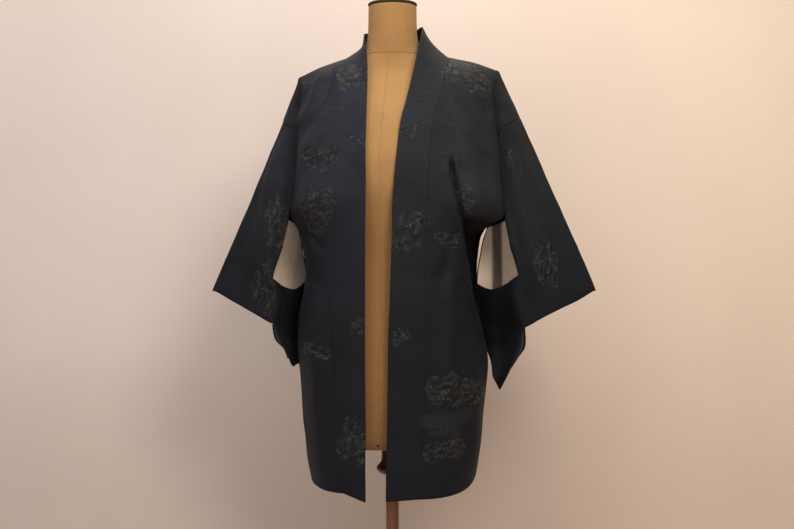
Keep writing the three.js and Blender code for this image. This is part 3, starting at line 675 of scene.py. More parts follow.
def pouch_shape(grid):
    """The overhanging fold on the wearer's left chest and the tucked side below it."""
    x, y, z = (grid[..., k].copy() for k in range(3))
    front = smooth_step(-4, -24, y)
    off = x - np.interp(z, STRIP_Z, STRIP_X)
    under = POUCH["under_z"]
    aside = np.abs(x - POUCH["x"]) / POUCH["half_x"]
    bulge = np.exp(-(aside**3) - ((z - POUCH["z"]) / POUCH["half_z"]) ** 2)
    above = smooth_step(under - 3, under + 3, z) * smooth_step(-4, 10, off)
    forward = POUCH["forward"] * bulge * above
    below = smooth_step(under + 3, under - 3, z) * smooth_step(850, 1000, z)
    tuck = POUCH["tuck"] * below * smooth_step(0, 7, off)
    groove = 8 * np.exp(-(((off - 2) / 5) ** 2))
    groove *= smooth_step(1200, 1172, z) * smooth_step(1078, 1092, z)
    grid[..., 1] = y + front * (tuck + groove - forward)
    grid[..., 2] = z - front * POUCH["sag"] * bulge * above * smooth_step(1140, 1094, z)
    return grid


def body_grid(side):
    heights = column(BODY[side], SECTION, "z")
    guides = [lower_row(side, z, "front") for z in heights]
    guides += [yoke_row(side, row) for row in YOKE[side]]
    guides += [lower_row(side, z, "back") for z in heights[::-1]]
    grid = along_curve(np.array(guides), FINE)
    if side == "left":
        grid = pouch_shape(grid)
    flip = side == "right"
    edge_hold = np.minimum(1, np.linspace(0, 1, COLUMNS + 1) * 12)
    heights = fold_heights(grid, BODY_FOLDS[side]) * edge_hold * edge_hold[::-1]
    heights += soft_waves(grid, BODY_SEED) + seam_roll(grid)
    grid = grid + surface_normals(grid, flip) * heights[..., None]
    return with_allowances(grid, flip, (5, 4), (1.3, 1.6))


def gusset_grid(side):
    rows = []
    for z in column(BODY[side], SECTION, "z"):
        half = section(side, "gusset", z) / 2 - GAP / 2
        front, back = (angle_at_gusset(side, z, half, face) for face in ("front", "back"))
        line = [section_point(side, z, angle) for angle in np.linspace(-front, back, 5)]
        if z == BODY[side][0][0]:
            for point in line:
                point[2] = HEM[side]["side"]
        rows.append(spaced(line, 12))
    grid = along_curve(np.array(rows), FINE)
    heights = soft_waves(grid, BODY_SEED) + seam_roll(grid)
    return grid + surface_normals(grid, side == "right") * heights[..., None]


def collar_grid():
    def front_row(side, z):
        seam = section(side, "seam", z) - GAP / 2
        edge = section(side, "edge", z)
        line = []
        for x in (seam, (seam + edge) / 2, edge):
            point = section_point(side, z, -angle_at_x(side, z, x))
            point[0] = sign_of(side) * x
            if z == BODY[side][0][0]:
                share = (seam - x) / (seam - edge)
                point[2] = HEM[side]["seam"] * (1 - share) + HEM[side]["edge"] * share
            line.append(point)
        return line

    def band(seam, edge, dip=0.0):
        seam, edge = np.asarray(seam, float), np.asarray(edge, float)
        return [inset(seam, edge, GAP / 2), (seam + edge) / 2 - (dip, 0, 0), edge]

    def half(side):
        neck = []
        for row, edge, dip in zip(YOKE[side], COLLAR_EDGE[side], COLLAR_DIP[side]):
            neck.append(band(placed(side, row[0]), placed(side, edge), sign_of(side) * dip))
        fronts = [front_row(side, z) for z in column(BODY[side], SECTION, "z")]
        return fronts + neck

    centre = band(YOKE["left"][len(COLLAR_EDGE["left"])][0], COLLAR_CENTRE)
    rows = [*half("right"), centre, *half("left")[::-1]]
    grid = along_curve(np.array([spaced(row, 16) for row in rows]), FINE)
    grid += surface_normals(grid, False) * (soft_waves(grid, BODY_SEED)[..., None] + 1.2)
    return grid


def sleeve_ring(side, row):
    front, outer, back, inner = (placed(side, p) for p in row)

    def fold(way):
        return outer + np.array([-sign_of(side) * TOP_FOLD, way * TOP_FOLD, 0])

    def layer(start, way):
        line = []
        for t in np.arange(LAYER_STEPS) / LAYER_STEPS:
            out = np.array([0, way * BULGE * math.sin(math.pi * t), 0])
            line.append(start + (fold(way) - start) * t + out)
        return line

    recess = front + (inner - front) * 0.3 + np.array([0, RECESS, 0])
    ring = [inner, (inner + recess) / 2, recess, *layer(front, -1), fold(-1), outer, fold(1)]
    inside = [back + (inner - back) * share for share in (0.35, 0.7)]
    return [*ring, *layer(back, 1)[::-1], *inside]


def upper_sleeve_rows(side):
    ends = [row[3] for row in YOKE[side]]
    shoulder = (len(ends) - 1) // 2
    low = np.array(SLEEVE[side][0][1], float)
    rows = []
    for k in range(SEAM_ROW, 0, -1):
        outer = ends[shoulder] + (low - ends[shoulder]) * (SEAM_ROW - k) / SEAM_ROW
        back = ends[len(ends) - 1 - k]
        rows.append(sleeve_ring(side, (ends[k], outer, back, back)))

    def seam(at):
        k = min(int(at), len(ends) - 2)
        return placed(side, ends[k]) * (1 - at + k) + placed(side, ends[k + 1]) * (at - k)

    fold_column, span = BAG_COLUMNS + LAYER_STEPS, shoulder - 1 - SEAM_ROW
    for k in range(LAYER_STEPS + 1):
        rows[0][BAG_COLUMNS + k] = seam(SEAM_ROW + span * k / LAYER_STEPS)
        behind = 2 * shoulder - SEAM_ROW - span * k / LAYER_STEPS
        rows[0][fold_column + 2 + LAYER_STEPS - k] = seam(behind)
    rows[0][fold_column + 1] = seam(shoulder)
    return rows


def sleeve_normals(grid, side):
    wrapped = np.concatenate([grid[:, -2:], grid, grid[:, :2]], axis=1)
    return surface_normals(wrapped, side == "left")[:, 2:-2]


def lining_folds(grid, side):
    """Two soft upright folds in the lining, with a trough between them."""
    x, z = np.abs(grid[..., 0]), grid[..., 2]
    lean = {"left": 0.12, "right": 0.2}[side]
    middle = {"left": 201, "right": 190}[side] + (1040 - z) * lean
    ridges = sum(np.exp(-(((x - middle - at) / 4.5) ** 2)) for at in (-9, 9))
    return 5.5 * ridges * smooth_step(1085, 1070, z) * smooth_step(925, 960, z)


def sleeve_grid(side):
    """The fine sleeve, and the row index of the cuff's edge."""
    rings = np.array([*upper_sleeve_rows(side), *(sleeve_ring(side, row) for row in SLEEVE[side])])
    cuff = SEAM_ROW + SLEEVE_ROWS.index("cuff")
    rim = SEAM_ROW + SLEEVE_ROWS.index("rim")
    sag = np.zeros(len(rings))
    sag[rim], sag[rim + 1] = RIM_DIP[side], RIM_DIP[side] * 0.4
    for j, share in ((1, 1.0), (2, 0.75)):
        rings[:, j, 2] -= sag * share
    closed = np.concatenate([rings[:, -2:], rings, rings[:, :3]], axis=1)
    fine = along_curve(closed.transpose(1, 0, 2), RING_FINE).transpose(1, 0, 2)
    start = 2 * RING_FINE
    fine = fine[:, start : start + rings.shape[1] * RING_FINE]
    upper = along_curve(fine[: cuff + 1], FINE)
    lower = along_curve(fine[cuff + 1 :], FINE)
    grid = np.concatenate([upper, lower])
    heights = fold_heights(grid, SLEEVE_FOLDS[side]) + soft_waves(grid, SLEEVE_SEED)
    columns = np.arange(grid.shape[1])
    rows = np.arange(len(grid))
    seam_hold = (smooth_step(0, 6, rows) * smooth_step(0, 20, len(grid) - 1 - rows))[:, None]
    valleys = [np.abs(columns - at * RING_FINE) for at in (BAG_COLUMNS, BAG_COLUMNS + 10)]
    valley = np.minimum(*valleys)
    at_armhole = (rows < (SEAM_ROW + 1) * FINE)[:, None]
    heights = heights * seam_hold * np.where(at_armhole, np.minimum(1, valley / 5)[None, :], 1.0)
    return grid + sleeve_normals(grid, side) * heights[..., None], len(upper) - 1


def sleeve_keeps(cuff_row, columns):
    armhole = (SEAM_ROW + SLEEVE_ROWS.index("armhole")) * FINE
    rim = (SEAM_ROW + SLEEVE_ROWS.index("rim")) * FINE
    bag = BAG_COLUMNS * RING_FINE

    def keep(i, j):
        if i < armhole:
            return bag <= j < columns - bag
        if i < rim:
            return j >= bag
        if i == cuff_row:
            return j < bag or j >= columns - bag
        return True

    return keep


def bottom_faces(rows, columns, flip):
    """Closes a sleeve's last row: each column against its opposite."""
    faces, last = [], (rows - 1) * columns
    for j in range(columns // 2):
        a, b, c, d = j, j + 1, columns - 1 - j, (columns - j) % columns
        ring = [a, b, c] if j == 0 else [a, b, c, d]
        if b == c and j == columns // 2 - 1:
            ring = [a, b, d]
        face = [last + v for v in ring]
        faces.append(face[::-1] if flip else face)
    return faces


# ---------- Shaders


def arithmetic(operation, swapped=False):
    def method(self, other):
        return self.math(operation, other, self) if swapped else self.math(operation, self, other)

    return method


class Value:
    """A float socket of a material, with Python arithmetic that adds Math nodes."""

    def __init__(self, shade, socket):
        self.shade = shade
        self.socket = socket

    def math(self, operation, *values):
        settings = {"operation": operation, "use_clamp": False}
        node = self.shade.node("ShaderNodeMath", settings, dict(enumerate(values)))
        return Value(self.shade, node.outputs[0])

    __add__, __radd__ = arithmetic("ADD"), arithmetic("ADD", swapped=True)
    __sub__, __rsub__ = arithmetic("SUBTRACT"), arithmetic("SUBTRACT", swapped=True)
    __mul__, __rmul__ = arithmetic("MULTIPLY"), arithmetic("MULTIPLY", swapped=True)
    highest = arithmetic("MAXIMUM")
    lowest = arithmetic("MINIMUM")

    def absolute(self):
        return self.math("ABSOLUTE", self)

    def ramp(self, low, high):
        """0 below low, 1 above high, smooth between; the other way round when low is above high."""
        if low > high:
            return 1 - self.ramp(high, low)
        node = self.shade.node(
            "ShaderNodeMapRange",
            {"interpolation_type": "SMOOTHSTEP"},
            {"Value": self, "From Min": low, "From Max": high},
        )
        return Value(self.shade, node.outputs[0])


class Shade:
    """A new material and the means to build its nodes."""

    def __init__(self, name, **constants):
        self.material = bpy.data.materials.new(name)
        self.material.use_nodes = True
        self.tree = self.material.node_tree
        self.surface = self.tree.nodes["Principled BSDF"]
        for socket, value in constants.items():
            self.surface.inputs[socket.replace("_", " ")].default_value = value

    def node(self, kind, settings=None, inputs=None):
        node = self.tree.nodes.new(kind)
        for name, value in (settings or {}).items():
            setattr(node, name, value)
        for name, value in (inputs or {}).items():
            self.feed(node.inputs[name], value)
        return node

    def feed(self, socket, value):
        if isinstance(value, Value):
            value = value.socket
        if isinstance(value, bpy.types.NodeSocket):
            self.tree.links.new(value, socket)
        else:
            socket.default_value = value

    def place(self, scale, kind="object"):
        """Coordinates for a texture, in metres times scale: of the object, or of the cloth."""
        if kind == "object":
            source = self.node("ShaderNodeTexCoord").outputs["Object"]
        else:
            source = self.node("ShaderNodeUVMap", {"uv_map": "cloth"}).outputs["UV"]
        node = self.node("ShaderNodeMapping", None, {"Vector": source, "Scale": scale})
        return node.outputs["Vector"]

    def noise(self, scale, detail, roughness, kind="object"):
        inputs = {"Vector": self.place(scale, kind), "Scale": 1.0}
        inputs.update({"Detail": detail, "Roughness": roughness})
        return Value(self, self.node("ShaderNodeTexNoise", None, inputs).outputs["Fac"])

    def woven(self, across, along, detail=2.0, roughness=0.6):
        """Noise that lies in the cloth."""
        return self.noise((across, along, 1), detail, roughness, "cloth")

    def cells(self, across, along):
        place = self.place((across, along, 1), "cloth")
        inputs = {"Vector": place, "Scale": 1.0, "Randomness": 1.0}
        node = self.node("ShaderNodeTexVoronoi", {"feature": "F1"}, inputs)
        return Value(self, node.outputs["Distance"])

    def attribute(self, name):
        node = self.node("ShaderNodeAttribute", {"attribute_name": name})
        return Value(self, node.outputs["Fac"])

    def axes(self):
        node = self.node("ShaderNodeSeparateXYZ", None, {"Vector": self.place((1, 1, 1))})
        return [Value(self, output) for output in node.outputs]

    def mix(self, factor, first, second):
        node = self.node("ShaderNodeMix", {"data_type": "RGBA"})
        self.feed(node.inputs[0], factor)
        self.feed(node.inputs[6], first)
        self.feed(node.inputs[7], second)
        return node.outputs[2]

    def finish(self, colour, roughness, height=None, distance=0.001, strength=1.0):
        self.feed(self.surface.inputs["Base Color"], colour)
        self.feed(self.surface.inputs["Roughness"], roughness)
        if height is not None:
            inputs = {"Height": height, "Distance": distance, "Strength": strength}
            bump = self.node("ShaderNodeBump", None, inputs)
            self.tree.links.new(bump.outputs["Normal"], self.surface.inputs["Normal"])
        return self.material


def rgb(colour):
    return (*colour[:3], 1.0)


def haori_look(settings):
    """Ribbed silk with woven garden flecks and scalloped clouds, with painted shade: darker towards
    the bottom, darker and greener towards the wearer's left, and deep in folds.
    """
    shade = Shade("haori_silk", Sheen_Weight=0.03, Sheen_Roughness=0.4, Specular_IOR_Level=0.14)
    shade.surface.inputs["Sheen Tint"].default_value = (0.6, 0.65, 0.75, 1.0)
    ribs = shade.woven(90, 800)
    slubs = shade.woven(45, 330, 3.0)
    grain = shade.woven(430, 430, 3.0)
    cloudy = shade.noise((5, 5, 5), 3.0, 0.55)
    ground = shade.mix(cloudy.ramp(0.3, 0.7), rgb(settings.cloth_dark_and_shade), rgb(settings.cloth))
    side, _, height = shade.axes()
    # Painted shade: the ground turns darker and greener towards the wearer's left (+X).
    ground = shade.mix(side.ramp(-0.08, 0.12) * 0.75, ground, rgb(settings.cloth_green_shade))
    lit = (slubs * 0.5 + grain * 0.5).ramp(0.44, 0.66) * 0.55
    ground = shade.mix(lit, ground, rgb(settings.cloth_light))
    # Painted shade: the ground darkens towards the bottom, where less light falls.
    ground = shade.mix(height.ramp(1.3, 0.9) * 0.75, ground, rgb(settings.cloth_dark_and_shade))

    ragged = shade.woven(60, 120, 3.0, 0.65)
    inside = (shade.attribute("garden") + (ragged - 0.5) * 22).ramp(1.4, -1.6)
    fine = shade.woven(620, 800).ramp(0.38, 0.58)
    dashes = shade.woven(230, 640, 2.0, 0.55).ramp(0.48, 0.6)
    clumps = shade.woven(70, 110, 2.0, 0.5).ramp(0.4, 0.6)
    curl = shade.cells(125, 145)
    rims = (curl - 0.36).absolute().ramp(0.13, 0.03) * fine
    hearts = curl.ramp(0.16, 0.08) * fine
    flecks = rims * (0.5 + clumps * 0.5) + hearts * 0.9 + dashes * clumps * 0.9
    flecks = inside * flecks.lowest(1.0)
    bright = shade.woven(55, 80).ramp(0.35, 0.68)
    tint = shade.woven(38, 60, 1.0, 0.5).ramp(0.45, 0.62)
    thread = shade.mix(tint, rgb(settings.fleck_grey), rgb(settings.fleck_gold))
    colour = shade.mix(inside * 0.55, ground, rgb(settings.cloth_dark_and_shade))
    colour = shade.mix(flecks * (0.32 + bright * 0.5), colour, thread)

    distance = shade.attribute("cloud") + (ragged - 0.5) * 1.2
    outline = 0.0
    for depth, weight in ((0, 1.0), (5, 0.6), (9, 0.35)):
        outline = (distance + depth).absolute().ramp(1.3, 0.4) * weight + outline
    worn = shade.woven(60, 90, 2.0, 0.5).ramp(0.38, 0.6)
    colour = shade.mix(outline * worn * 0.2, colour, rgb(settings.fleck_grey))
    colour = shade.mix(distance.ramp(0.5, -4) * 0.08, colour, rgb(settings.fleck_grey))
    colour = shade.mix(shade.attribute("shade") * 0.93, colour, rgb(settings.shadow))

    raised = ribs * 0.3 + slubs * 0.25 + grain * 0.1 + flecks * 0.9 + outline * 0.4
    roughness = 0.6 + slubs * 0.12 - flecks * 0.1
    return shade.finish(colour, roughness, raised, 0.0005, 0.6)


def lining_look(settings):
    """Thin light silk with a faint painted glow for the light that comes through it, and painted
    shade where the sleeve folds over it: a band in the fold of the wearer's left lining, and the
    other lining darker towards the body.
    """
    # Emission_Strength and the Emission Color fed below make the lining glow faintly: painted light
    # for light through the silk.
    constants = {"Sheen_Weight": 0.1, "Specular_IOR_Level": 0.3, "Emission_Strength": 0.1}
    shade = Shade("sleeve_lining_silk", **constants)
    weave = shade.woven(700, 90)
    blotch = shade.noise((14, 10, 14), 3.0, 0.6)
    x = shade.axes()[0]
    streaks = shade.woven(26, 4, 2.0, 0.5).ramp(0.35, 0.65)
    colour = shade.mix(blotch.ramp(0.3, 0.7), rgb(settings.lining_dark), rgb(settings.lining))
    colour = shade.mix(streaks * 0.2, colour, rgb(settings.lining_dark))
    # Painted shade: band darkens the fold of the wearer's left lining, and inner darkens the other
    # lining towards the body.
    band = (x - 0.2025).absolute().ramp(0.0135, 0.006) * 0.86
    inner = x.ramp(-0.215, -0.165) * x.ramp(0.0, -0.01) * 0.8
    colour = shade.mix(band + inner, colour, rgb(settings.lining_shade))
    shade.feed(shade.surface.inputs["Emission Color"], colour)
    return shade.finish(colour, 0.62 + weave * 0.12, weave, 0.0004, 0.4)


def linen_look(settings):
    """Fine linen stretched on the form, with its seams, a warm old tone and painted shade that
    darkens it towards the bottom.
    """
    shade = Shade("form_linen", Sheen_Weight=0.08, Specular_IOR_Level=0.25)
    x, y, z = shade.axes()
    warp = shade.noise((900, 900, 60), 2.0, 0.6)
    weft = shade.noise((80, 80, 1100), 2.0, 0.6)
    age = shade.noise((6, 6, 3), 4.0, 0.6)
    stain = shade.noise((22, 22, 12), 4.0, 0.65)
    colour = shade.mix(age.ramp(0.35, 0.7), rgb(settings.linen), rgb(settings.linen_light))
    # Painted shade: the linen darkens towards the bottom, where less light falls.
    colour = shade.mix(z.ramp(1.3, 0.8) * 0.75, colour, rgb(settings.linen_dark_and_shade))
    colour = shade.mix(z.ramp(1.39, 1.42) * 0.3, colour, rgb(settings.linen_dark_and_shade))
    colour = shade.mix(stain.ramp(0.55, 0.75) * 0.25, colour, rgb(settings.linen_dark_and_shade))
    colour = shade.mix((warp + weft).ramp(0.85, 1.25) * 0.3, colour, rgb(settings.linen_light))
    neck_seam = (z - NECK_SEAM_Z * MM).absolute().ramp(0.0016, 0.0004)
    front = y.ramp(0.0, -0.01)
    below = z.ramp(NECK_SEAM_Z * MM + 0.001, NECK_SEAM_Z * MM - 0.001)
    lean = (NECK_SEAM_Z * MM - z.highest(1.2)) * 0.09
    centre_seam = (x + 0.0064 + lean).absolute().ramp(0.0014, 0.0004) * front * below * 0.5
    back_seam = x.absolute().ramp(0.0014, 0.0004) * (1 - front)
    side_seam = y.absolute().ramp(0.0014, 0.0004) * below
    seams = neck_seam.highest(centre_seam).highest(back_seam * 0.8).highest(side_seam * 0.8)
    colour = shade.mix(seams * 0.32, colour, rgb(settings.seam))
    height = warp * 0.3 + weft * 0.3 - seams * 1.6
    return shade.finish(colour, 0.78 + weft * 0.12, height, 0.0008, 0.5)


def wood_look(name, light, dark, gloss):
    """Turned and varnished wood: long grain along the pole, with fine pores."""
    shade = Shade(name, Coat_Weight=0.25, Coat_Roughness=0.25, Specular_IOR_Level=0.4)
    grain = shade.noise((90, 90, 5), 4.0, 0.6)
    pores = shade.noise((600, 600, 40), 2.0, 0.5)
    cloudy = shade.noise((9, 9, 3), 3.0, 0.5)
    colour = shade.mix(grain.ramp(0.35, 0.65), rgb(light), rgb(dark))
    colour = shade.mix(cloudy.ramp(0.4, 0.7) * 0.4, colour, rgb(dark))
    colour = shade.mix(pores.ramp(0.6, 0.72) * 0.5, colour, rgb([c * 0.45 for c in dark]))
    height = grain * 0.6 - pores.ramp(0.6, 0.72) * 0.5
    return shade.finish(colour, gloss + grain * 0.15, height, 0.0005, 0.5)


def cap_look():
    """Dull brushed metal."""
    shade = Shade("cap_metal", Metallic=0.7, Specular_IOR_Level=0.5)
    brushed = shade.noise((60, 60, 900), 3.0, 0.6)
    dull = shade.noise((25, 25, 25), 4.0, 0.6)
    dark, pale = rgb((0.09, 0.085, 0.08)), rgb((0.2, 0.19, 0.175))
    colour = shade.mix(dull.ramp(0.35, 0.7), dark, pale)
    return shade.finish(colour, 0.38 + dull * 0.25, brushed, 0.0003, 0.3)


def band_look():
    """The dark braid that covers the edge of the neck's top."""
    shade = Shade("neck_braid", Specular_IOR_Level=0.3)
    weave = shade.noise((500, 500, 500), 2.0, 0.6)
    dark, pale = rgb((0.02, 0.017, 0.014)), rgb((0.055, 0.048, 0.04))
    colour = shade.mix(weave.ramp(0.4, 0.65), dark, pale)
    return shade.finish(colour, 0.7 + weave * 0.15, weave, 0.0004, 0.5)


def stage_look(name, settings, clear_behind):
    """Pale painted plaster with painted light: warmer towards +X as if lit from that side, and
    painted shade darker towards the floor, over faint patches. With clear_behind it can be seen
    through from behind the stage.
    """
    shade = Shade(name)
    patch = shade.noise((2.2, 2.2, 2.2), 4.0, 0.55)
    x, _, z = shade.axes()
    # Painted light: the backdrop turns warmer towards +X, as if lit from that side.
    colour = shade.mix(x.ramp(-0.7, 0.9), rgb(settings.wall), rgb(settings.wall_warm_light))
    # worn: faint patches in the plaster, plus painted shade that darkens it towards the floor.
    worn = patch.ramp(0.35, 0.65) * 0.06 + z.ramp(1.0, 0.4) * 0.22
    colour = shade.mix(worn, colour, rgb((0.3, 0.22, 0.16)))
    look = shade.finish(colour, 0.85 + patch * 0.1)
    if clear_behind:
        behind = shade.node("ShaderNodeNewGeometry").outputs["Backfacing"]
        clear = shade.node("ShaderNodeBsdfTransparent").outputs["BSDF"]
        inputs = {0: behind, 1: shade.surface.outputs["BSDF"], 2: clear}
        both = shade.node("ShaderNodeMixShader", None, inputs)
        shade.feed(shade.tree.nodes["Material Output"].inputs["Surface"], both.outputs[0])
    return look


# ---------- Turned and stacked shapes


def deselect():
    if bpy.context.object and bpy.context.object.mode != "OBJECT":
        bpy.ops.object.mode_set(mode="OBJECT")
    bpy.ops.object.select_all(action="DESELECT")


def stacked(name, rows, vertices, look, slot, node):
    """A closed shape drawn up from a disc, ring by ring. rows hold height, radius across, radius
    to the front and radius to the back."""
    deselect()
    z, half, front, back = rows[0]
    bpy.ops.mesh.primitive_circle_add(
        vertices=vertices, radius=1, fill_type="NGON", location=(0, 0, 0)
    )
    piece = bpy.context.object
    piece.name = piece.data.name = name
    bpy.ops.object.mode_set(mode="EDIT")
    bpy.ops.mesh.select_all(action="SELECT")
    middle = (back - front) / 2 * MM
    size = (half * MM, (front + back) / 2 * MM, 1)
    bpy.ops.transform.resize(value=size, center_override=(0, 0, 0))
    bpy.ops.transform.translate(value=(0, middle, z * MM))
    for next_row in rows[1:]:
        above, next_half, next_front, next_back = next_row
        rise, shift = (above - z) * MM, (next_back - next_front) / 2 * MM - middle
        bpy.ops.mesh.extrude_region_move(TRANSFORM_OT_translate={"value": (0, shift, rise)})
        middle += shift
        scale = (next_half / half, (next_front + next_back) / (front + back), 1)
        bpy.ops.transform.resize(value=scale, center_override=(0, middle, above * MM))
        z, half, front, back = next_row
    bpy.ops.mesh.select_all(action="SELECT")
    bpy.ops.mesh.normals_make_consistent(inside=False)
    bpy.ops.object.mode_set(mode="OBJECT")
    bpy.ops.object.shade_smooth_by_angle(angle=math.radians(38))
    piece.data.materials.append(look)
    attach(piece, "root")
    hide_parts(node)


def lathed(name, profile, *rest):
    """A stacked shape that is round, from heights and radii."""
    stacked(name, [(z, r, r, r) for z, r in profile], *rest)


# ---------- Settings


def colour_setting(name, description, default):
    return bpy.props.FloatVectorProperty(
        name=name, description=description, default=default, subtype="COLOR", size=3, min=0, max=1
    )


def number_setting(name, description, default, low, unit):
    return bpy.props.FloatProperty(
        name=name, description=description, default=default, min=low, unit=unit
    )


def power_setting(name, description, default):
    return number_setting(name, description, default, 0, "POWER")


class HaoriCloth(bpy.types.PropertyGroup):
    wall: number_setting("Wall", "Thickness of a lined panel", 0.0011, 0.0005, "LENGTH")
    band: number_setting("Collar", "Thickness of the folded collar", 0.0022, 0.001, "LENGTH")
    cloth: colour_setting("Cloth", "Navy ground of the silk", (0.023, 0.026, 0.037))
    # cloth_dark_and_shade: the ground's darker tone, also used as painted shade towards the bottom.
    cloth_dark_and_shade: colour_setting("Cloth, dark", "Darker tone of the ground", (0.008, 0.009, 0.012))
    cloth_light: colour_setting("Cloth, light", "Lit threads of the ground", (0.038, 0.044, 0.057))
    # cloth_green_shade: painted shade, darker and greener, on the wearer's left.
    cloth_green_shade: colour_setting("Cloth, green", "Tone on the wearer's left", (0.012, 0.015, 0.0145))
    shadow: colour_setting("Shade", "Silk deep in a fold", (0.001, 0.001, 0.0012))
    fleck_gold: colour_setting("Flecks, gold", "Gold woven flecks", (0.120, 0.104, 0.074))
    fleck_grey: colour_setting("Flecks, grey", "Grey-green woven flecks", (0.085, 0.090, 0.080))
    lining: colour_setting("Lining", "Light silk lining", (0.97, 0.78, 0.61))
    lining_dark: colour_setting("Lining, dark", "Darker patches of the lining", (0.88, 0.69, 0.53))
    lining_shade: colour_setting("Lining, shade", "Lining deep in a fold", (0.045, 0.035, 0.03))


class HaoriForm(bpy.types.PropertyGroup):
    linen: colour_setting("Linen", "Linen of the form", (0.44, 0.235, 0.083))
    linen_light: colour_setting("Linen, light", "Lighter threads", (0.50, 0.28, 0.108))
    # linen_dark_and_shade: darker, older linen, also used as painted shade towards the bottom.
    linen_dark_and_shade: colour_setting("Linen, dark", "Darker, older linen", (0.27, 0.125, 0.04))
    seam: colour_setting("Seams", "Shade in the form's seams", (0.16, 0.08, 0.03))
    pole: colour_setting("Pole", "Wood of the pole", (0.42, 0.19, 0.085))
    turning: colour_setting("Turning", "Wood of the turned collar and base", (0.085, 0.035, 0.018))


class HaoriStage(bpy.types.PropertyGroup):
    wall: colour_setting("Backdrop", "Pale backdrop and floor", (0.82, 0.70, 0.64))
    # wall_warm_light: the backdrop's warmer side, painted as light falling from +X.
    wall_warm_light: colour_setting("Backdrop, warm", "Its warmer side", (0.93, 0.76, 0.62))
    key: power_setting("Key", "Power of the main light", 29)
    fill: power_setting("Fill", "Power of the fill light", 15)
    top: power_setting("Top", "Power of the light above", 24)
    back: power_setting("Back", "Power of the light behind", 7)
    lens: number_setting("Lens", "Focal length in millimetres", 57.26, 10, "NONE")


# ---------- Operators


class HAORI_OT_body(bpy.types.Operator):
    """Two body panels, each front and back in one length over the shoulder."""

    bl_idname = "haori.body"
    bl_label = "Body panels"

    def execute(self, context):
        settings = context.scene.haori_cloth
        look = haori_look(settings)
        for side in ("left", "right"):
            grid, flip = body_grid(side), side == "right"
            piece = cloth_piece(f"panel_{side}", grid, flip, settings.wall, look)
            declare(piece, f"body_{side}")
        return {"FINISHED"}


class HAORI_OT_gussets(bpy.types.Operator):
    """The side wedges between front and back."""

    bl_idname = "haori.gussets"
    bl_label = "Side wedges"

    def execute(self, context):
        settings = context.scene.haori_cloth
        look = bpy.data.materials["haori_silk"]
        for side in ("left", "right"):
            grid, flip = gusset_grid(side), side == "right"
            piece = cloth_piece(f"wedge_{side}", grid, flip, settings.wall, look)
            declare(piece, f"gusset_{side}")
        return {"FINISHED"}


class HAORI_OT_collar(bpy.types.Operator):
    """The folded collar from hem to hem."""

    bl_idname = "haori.collar"
    bl_label = "Collar"

    def execute(self, context):
        settings = context.scene.haori_cloth
        look = bpy.data.materials["haori_silk"]
        piece = cloth_piece("neckband", collar_grid(), False, settings.band, look, offset=-1)
        rounded = piece.modifiers.new("edge", "BEVEL")
        rounded.width, rounded.segments = 0.0009, 2
        rounded.limit_method, rounded.angle_limit = "ANGLE", math.radians(60)
        declare(piece, "collar")
        return {"FINISHED"}


class HAORI_OT_sleeves(bpy.types.Operator):
    """Two sleeves, open at the cuff and along the inner edge."""

    bl_idname = "haori.sleeves"
    bl_label = "Sleeves"

    def execute(self, context):
        settings = context.scene.haori_cloth
        look = bpy.data.materials["haori_silk"]
        for side in ("left", "right"):
            grid, cuff_row = sleeve_grid(side)
            rows, columns = grid.shape[:2]
            flip = side == "left"
            keep = sleeve_keeps(cuff_row, columns)
            faces = grid_faces(rows, columns, keep, cyclic=True, flip=flip)
            faces += bottom_faces(rows, columns, flip)
            turned = cloth_coordinates(grid)[..., ::-1].reshape(-1, 2)
            piece = add_mesh(f"sleeve_{side}_cloth", grid.reshape(-1, 3), faces, turned)
            piece.data.materials.append(look)
            thicken(piece, settings.wall)
            declare(piece, f"sleeve_{side}")
        return {"FINISHED"}


class HAORI_OT_linings(bpy.types.Operator):
    """The light lining inside the sleeves' back layers."""

    bl_idname = "haori.linings"
    bl_label = "Sleeve linings"

    def execute(self, context):
        settings = context.scene.haori_cloth
        look = lining_look(settings)
        for side in ("left", "right"):
            grid, _ = sleeve_grid(side)
            normals = sleeve_normals(grid, side)
            first = (BAG_COLUMNS + LAYER_STEPS + 3) * RING_FINE
            start, end = SEAM_ROW * FINE + 2, (SEAM_ROW + 3) * FINE
            under = (grid - normals * 0.8)[start : end + 1]
            part = np.concatenate([under[:, first:], under[:, :1]], axis=1)
            part[:, -1] += (part[:, -2] - part[:, -1]) * 0.3
            part[..., 1] -= lining_folds(part, side)
            piece = cloth_piece(f"lining_{side}", part, side == "left", 0.0008, look, offset=-1)
            declare(piece, f"sleeve_lining_{side}")
        return {"FINISHED"}


